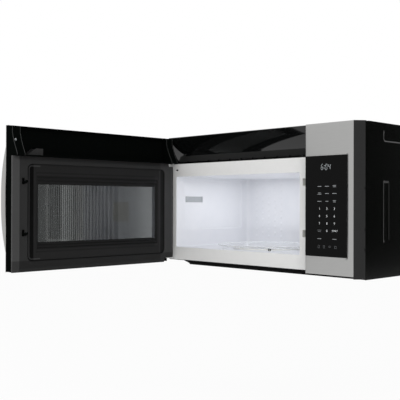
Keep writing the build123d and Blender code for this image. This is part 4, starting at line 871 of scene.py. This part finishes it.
def screen_share(x):
    """Share of light that the screen passes at x, in the place of holes too fine to show: a level that is
    lowest in the middle, and painted moiré bands that stand for the holes' mirror image in the panes. Their
    count grows with the 1.333rd power of the distance from the widest one, and they stay 7 mm wide from 346 mm
    on. They are drawn stronger than a blurred image shows them."""
    level = np.interp(x, [75, 110, 155, 200, 235, 300, 345, 376, 386, 424, 428, 510],
                      [0.235, 0.220, 0.108, 0.056, 0.028, 0.018, 0.050, 0.064, 0.166, 0.226, 0.108, 0.110])
    away = np.clip(x - 216, 0, 300)
    # Painted reflection: moiré bands where the holes cross their mirror image in the panes.
    painted_moire_bands = np.interp(x, [195, 216, 270, 345, 352, 430, 470, 480], [0, 0.02, 0.05, 0.075, 0.12, 0.12, 0.05, 0])
    count = np.where(x < 346, (away / 25) ** 1.333, 9 + (x - 346) / 7.0)
    return np.clip(level + painted_moire_bands * np.cos(2 * math.pi * count), 0, 1)


SCREEN_X, SCREEN_Z, SCREEN_T = (69.0, 510.5, 0.75), (79, 252), 23.15
xx, zz = np.meshgrid(np.arange(*SCREEN_X), np.linspace(*SCREEN_Z, 4), indexing="ij")
screen = surface("door_screen_sheet", door(xx, SCREEN_T, zz), holes, "door")
paint(screen, "open_share_and_painted_moire", screen_share(xx))
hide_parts("door_screen")
coat(holes, "door_screen")


# --- Handle -------------------------------------------------------------------------------------
# The handle is a deep bar of stainless steel, bent to a bow and screwed on from inside the
# door. It is brushed along its length, with its corners rounded over.

brushed_bar = brushed("brushed_stainless_bar", ("handle",), 0.7, (1, 1, 0.02), "#a2a2a0", "#b2b2b0", 0.34)

HANDLE_X = (562.0, 582.0)
BOW_MIDDLE, BOW_HALF, BOW_OUT, GRIP_HALF, GRIP_OUT = 204.0, 160.0, 35.5, 118.0, 12.0
BOW_POWER, CORNER_POWER = 2.5, 0.45


def bow(z, half, out):
    """How far a line of the bow stands off the door at each height: out in the middle and nothing beyond
    half from it, by a power of the distance."""
    return out * (1 - np.minimum(np.abs(z - BOW_MIDDLE) / half, 1) ** BOW_POWER)


handle_z = BOW_MIDDLE + BOW_HALF * np.sin(np.linspace(-math.pi / 2, math.pi / 2, 71))
handle_turn = np.linspace(0, 2 * math.pi, 49)[:-1]
across, inward = (np.sign(v) * np.abs(v) ** CORNER_POWER for v in (np.cos(handle_turn), np.sin(handle_turn)))
outer = DOOR_FRONT - bow(handle_z, BOW_HALF, BOW_OUT)
inner = DOOR_FRONT + 0.3 - bow(handle_z, GRIP_HALF, GRIP_OUT)
handle_x = np.mean(HANDLE_X) + (HANDLE_X[1] - HANDLE_X[0]) / 2 * across
handle_t = (outer + inner)[:, None] / 2 + (inner - outer)[:, None] / 2 * inward[None, :]
handle_bar = surface("handle_bar", door(handle_x[None, :], handle_t, handle_z[:, None])[:, ::-1], brushed_bar,
                     "door", closed_v=True, ends=True)
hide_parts("handle")


# --- Latch spring -------------------------------------------------------------------------------
# A small compression spring, wound from round bright spring wire, stands in the door's frame
# on the latch bar and presses it down.

spring_wire, _ = mottled("spring_wire", ("latch_spring",), 2.0, "#9a9a9a", "#b5b5b5", Metallic=1.0,
                         Roughness=0.25)

SPRING_AXIS, SPRING_ENDS, END_ROOM = (555.0, 16.5), (262.0, 286.0), 0.6
SPRING_R, WIRE_R, TURNS, LATCH_TRAVEL = 2.3, 0.45, 3, 4.0


def coil_points(share, wire_turn):
    """Points of a round wire that winds up the spring's axis; share runs from 0 to 1 along the wire and
    wire_turn round it."""
    turn = 2 * math.pi * TURNS * share
    reach = SPRING_R + WIRE_R * np.cos(wire_turn)
    length = SPRING_ENDS[1] - SPRING_ENDS[0] - 2 * END_ROOM
    return door(SPRING_AXIS[0] + reach * np.cos(turn), SPRING_AXIS[1] + reach * np.sin(turn),
                SPRING_ENDS[0] + END_ROOM + length * share + WIRE_R * np.sin(wire_turn))


coil_grid = np.meshgrid(np.linspace(0, 1, 91), np.linspace(0, 2 * math.pi, 9)[:-1], indexing="ij")
coil = surface("latch_spring_coil", coil_points(*coil_grid), spring_wire, "door", closed_v=True,
               ends=True)
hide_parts("latch_spring")
tuple(door(*SPRING_AXIS, SPRING_ENDS[1]).tolist())
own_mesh(coil)


# --- Inner parts --------------------------------------------------------------------------------
# Bare die cast and pressed aluminium, lacquered copper wire, laminated core steel and a
# green circuit board, as they come from their makers.

# Pressed and die cast aluminium, unpolished: soft cloudy reflections.
mottled("bare_aluminium", ("lamp_housings", "hv_capacitor", "magnetron", "blower_wheels"), 5.0, "#b9bbbd",
        "#c9cbcc", Metallic=1.0, Roughness=0.38)
# Stacked core sheets: dull grey steel, its tone changing in thin layers.
mottled("core_steel", ("transformer_core", "fan_motor"), 1.0, "#4a4a4c", "#67676a", stretch=(1, 8, 1),
        Metallic=0.8, Roughness=0.55)
# Wound enamelled wire: warm copper in fine turns.
mottled("lacquered_copper", ("transformer_coils",), 1.2, "#8a4a26", "#c27a48", stretch=(1, 1, 6), Metallic=1.0,
        Roughness=0.35)
# Circuit board under green solder lacquer, foam soaked with charcoal, and a moulded grey cover.
mottled("green_board_lacquer", ("control_board",), 4.0, "#123a22", "#1d5030", detail=4.0, Roughness=0.4)
mottled("charcoal_filter_foam", ("charcoal_filter",), 2.0, "#202020", "#3a3a3a", detail=4.0, Roughness=0.9)
mottled("grey_moulded_plastic", ("latch_cover",), 6.0, "#202020", "#262626", Roughness=0.5)


# --- Grease filters -----------------------------------------------------------------------------
# Layers of expanded aluminium mesh in a folded frame. The mesh is drawn as two sets of
# slanting waves that cross and leave diamonds about 9 mm wide, bright strands and dark gaps.

MESH_PITCH, STRAND_HIGH = 9.0, 0.6
filter_mesh, mesh_shader = new_finish("expanded_aluminium_mesh", Metallic=1.0, Roughness=0.42)
waves = []
for stretch in ((1, 1, 0), (-1, 1, 0)):
    spot = add(filter_mesh, "ShaderNodeTexCoord").outputs["Object"]
    spot = add(filter_mesh, "ShaderNodeMapping", {"Vector": spot, "Scale": stretch}).outputs["Vector"]
    waves.append(add(filter_mesh, "ShaderNodeTexWave", {"Vector": spot, "Distortion": 0.6,
                                                        "Scale": 2 * math.pi * 100 / MESH_PITCH},
                     bands_direction="DIAGONAL").outputs["Fac"])
strands = add(filter_mesh, "ShaderNodeMath", {0: waves[0], 1: waves[1]}, operation="MAXIMUM").outputs[0]
add(filter_mesh, "ShaderNodeMix", {"Factor": strands, 6: to_linear("#3c3d3e"), 7: to_linear("#c2c4c5")},
    into=mesh_shader.inputs["Base Color"], output=2, data_type="RGBA")
add(filter_mesh, "ShaderNodeBump", {"Height": strands, "Distance": STRAND_HIGH / 1000},
    into=mesh_shader.inputs["Normal"])
coat(filter_mesh, "grease_filter_left", "grease_filter_right")


# --- Studio -------------------------------------------------------------------------------------
# A plain pale floor, as far below the oven as a cooktop would be, a white surround, soft
# lamps, and a black card that the glossy right side of the case mirrors.

FLOOR_DROP, FLOOR_SIZE, FLOOR_GLOW = 0.42, 24, 0.93
floor_finish, floor_shader = new_finish("pale_floor", Base_Color=to_linear("#f2f2f2"), Roughness=0.8,
                                        Specular_IOR_Level=0.0)


def seen(finish):
    """1 for a ray that shows something to the camera, straight, in a mirror or through glass, 0 for one that
    only lights it."""
    path = add(finish, "ShaderNodeLightPath").outputs
    shows = add(finish, "ShaderNodeMath", {0: path["Is Camera Ray"], 1: path["Is Glossy Ray"]},
                operation="MAXIMUM").outputs[0]
    return add(finish, "ShaderNodeMath", {0: shows, 1: path["Is Transmission Ray"]},
               operation="MAXIMUM").outputs[0]


glow = add(floor_finish, "ShaderNodeEmission", {"Color": (1, 1, 1, 1), "Strength": 1.0}).outputs[0]
share = add(floor_finish, "ShaderNodeMath", {0: seen(floor_finish), 1: FLOOR_GLOW},
            operation="MULTIPLY").outputs[0]
add(floor_finish, "ShaderNodeMixShader", {0: share, 1: floor_shader.outputs[0], 2: glow},
    into=floor_finish.node_tree.nodes["Material Output"].inputs["Surface"])
bpy.ops.mesh.primitive_plane_add(size=FLOOR_SIZE, location=(0, 0, -FLOOR_DROP))
floor = bpy.context.object
floor.name = "floor"
floor.data.materials.append(floor_finish)

world = bpy.data.worlds.new("studio")
bpy.context.scene.world = world
world.use_nodes = True
surround = world.node_tree.nodes["Background"]
surround.inputs["Color"].default_value = (1, 1, 1, 1)
add(world, "ShaderNodeMapRange", {"Value": seen(world), "To Min": 0.62, "To Max": 1.0},
    into=surround.inputs["Strength"])


def soft_lamp(name, place, target, size, power):
    """An area lamp at place that faces target. It isn't seen itself, neither straight nor in a mirror."""
    lamp = bpy.data.lights.new(name, "AREA")
    lamp.shape = "RECTANGLE"
    lamp.size, lamp.size_y = size
    lamp.energy = power
    holder = bpy.data.objects.new(name, lamp)
    aim = Vector(place) - Vector(target)
    holder.matrix_world = Matrix.Translation(place) @ aim.to_track_quat("Z", "Y").to_matrix().to_4x4()
    holder.visible_glossy = False
    holder.visible_camera = False
    holder.visible_transmission = False
    bpy.context.collection.objects.link(holder)


soft_lamp("key", (-0.9, -3.2, 1.6), (0.1, 0, 0.2), (2.2, 1.6), 30)
soft_lamp("fill", (2.6, -2.4, 0.9), (0.2, 0, 0.2), (1.6, 1.6), 36)
soft_lamp("oven_lamp", (-0.0925, 0.02, 0.272), (-0.0925, 0.02, 0.0), (0.42, 0.28), 0.22)
soft_lamp("oven_bounce", (-0.0925, 0.02, 0.10), (-0.0925, 0.02, 0.272), (0.40, 0.26), 0.15)

CARD_X, CARD_Y, CARD_Z = 2.2, (-0.3, 4.2), (-0.4, 2.4)
card_finish, _ = new_finish("black_card", Base_Color=(0, 0, 0, 1), Roughness=1.0, Specular_IOR_Level=0.0)
card_mesh = bpy.data.meshes.new("black_card")
card_mesh.from_pydata([(CARD_X, CARD_Y[i], CARD_Z[j]) for i, j in ((0, 0), (1, 0), (1, 1), (0, 1))], [],
                      [(0, 1, 2, 3)])
card_mesh.materials.append(card_finish)
card = bpy.data.objects.new("black_card", card_mesh)
card.visible_camera = False
card.visible_diffuse = False
bpy.context.collection.objects.link(card)


# --- Camera -------------------------------------------------------------------------------------
# It stands off the right front corner at the height of the oven's middle, where the
# photograph was taken from: turned 45.7 degrees from straight on, and almost level.

CAMERA_PLACE = (1.391275, -1.747843, 0.194517)
TURN, TILT, LEAN = (math.radians(v) for v in (45.68248, 0.26211, 0.15165))
FOCAL_PIXELS, PHOTO_PIXELS, SENSOR = 718.597, 400, 36
ahead = np.array([-math.sin(TURN) * math.cos(TILT), math.cos(TURN) * math.cos(TILT), math.sin(TILT)])
level_right = np.array([math.cos(TURN), math.sin(TURN), 0.0])
level_up = np.cross(level_right, ahead)
camera_right = math.cos(LEAN) * level_right + math.sin(LEAN) * level_up
camera_up = -math.sin(LEAN) * level_right + math.cos(LEAN) * level_up
turned = np.eye(4)
turned[:3, 0], turned[:3, 1], turned[:3, 2], turned[:3, 3] = camera_right, camera_up, -ahead, CAMERA_PLACE
lens = bpy.data.cameras.new("camera")
lens.sensor_width = SENSOR
lens.lens = FOCAL_PIXELS * SENSOR / PHOTO_PIXELS
lens.clip_start = 0.05
camera = bpy.data.objects.new("camera", lens)
camera.matrix_world = Matrix(turned.tolist())
bpy.context.collection.objects.link(camera)
bpy.context.scene.camera = camera
bpy.context.scene.view_settings.view_transform = "Standard"
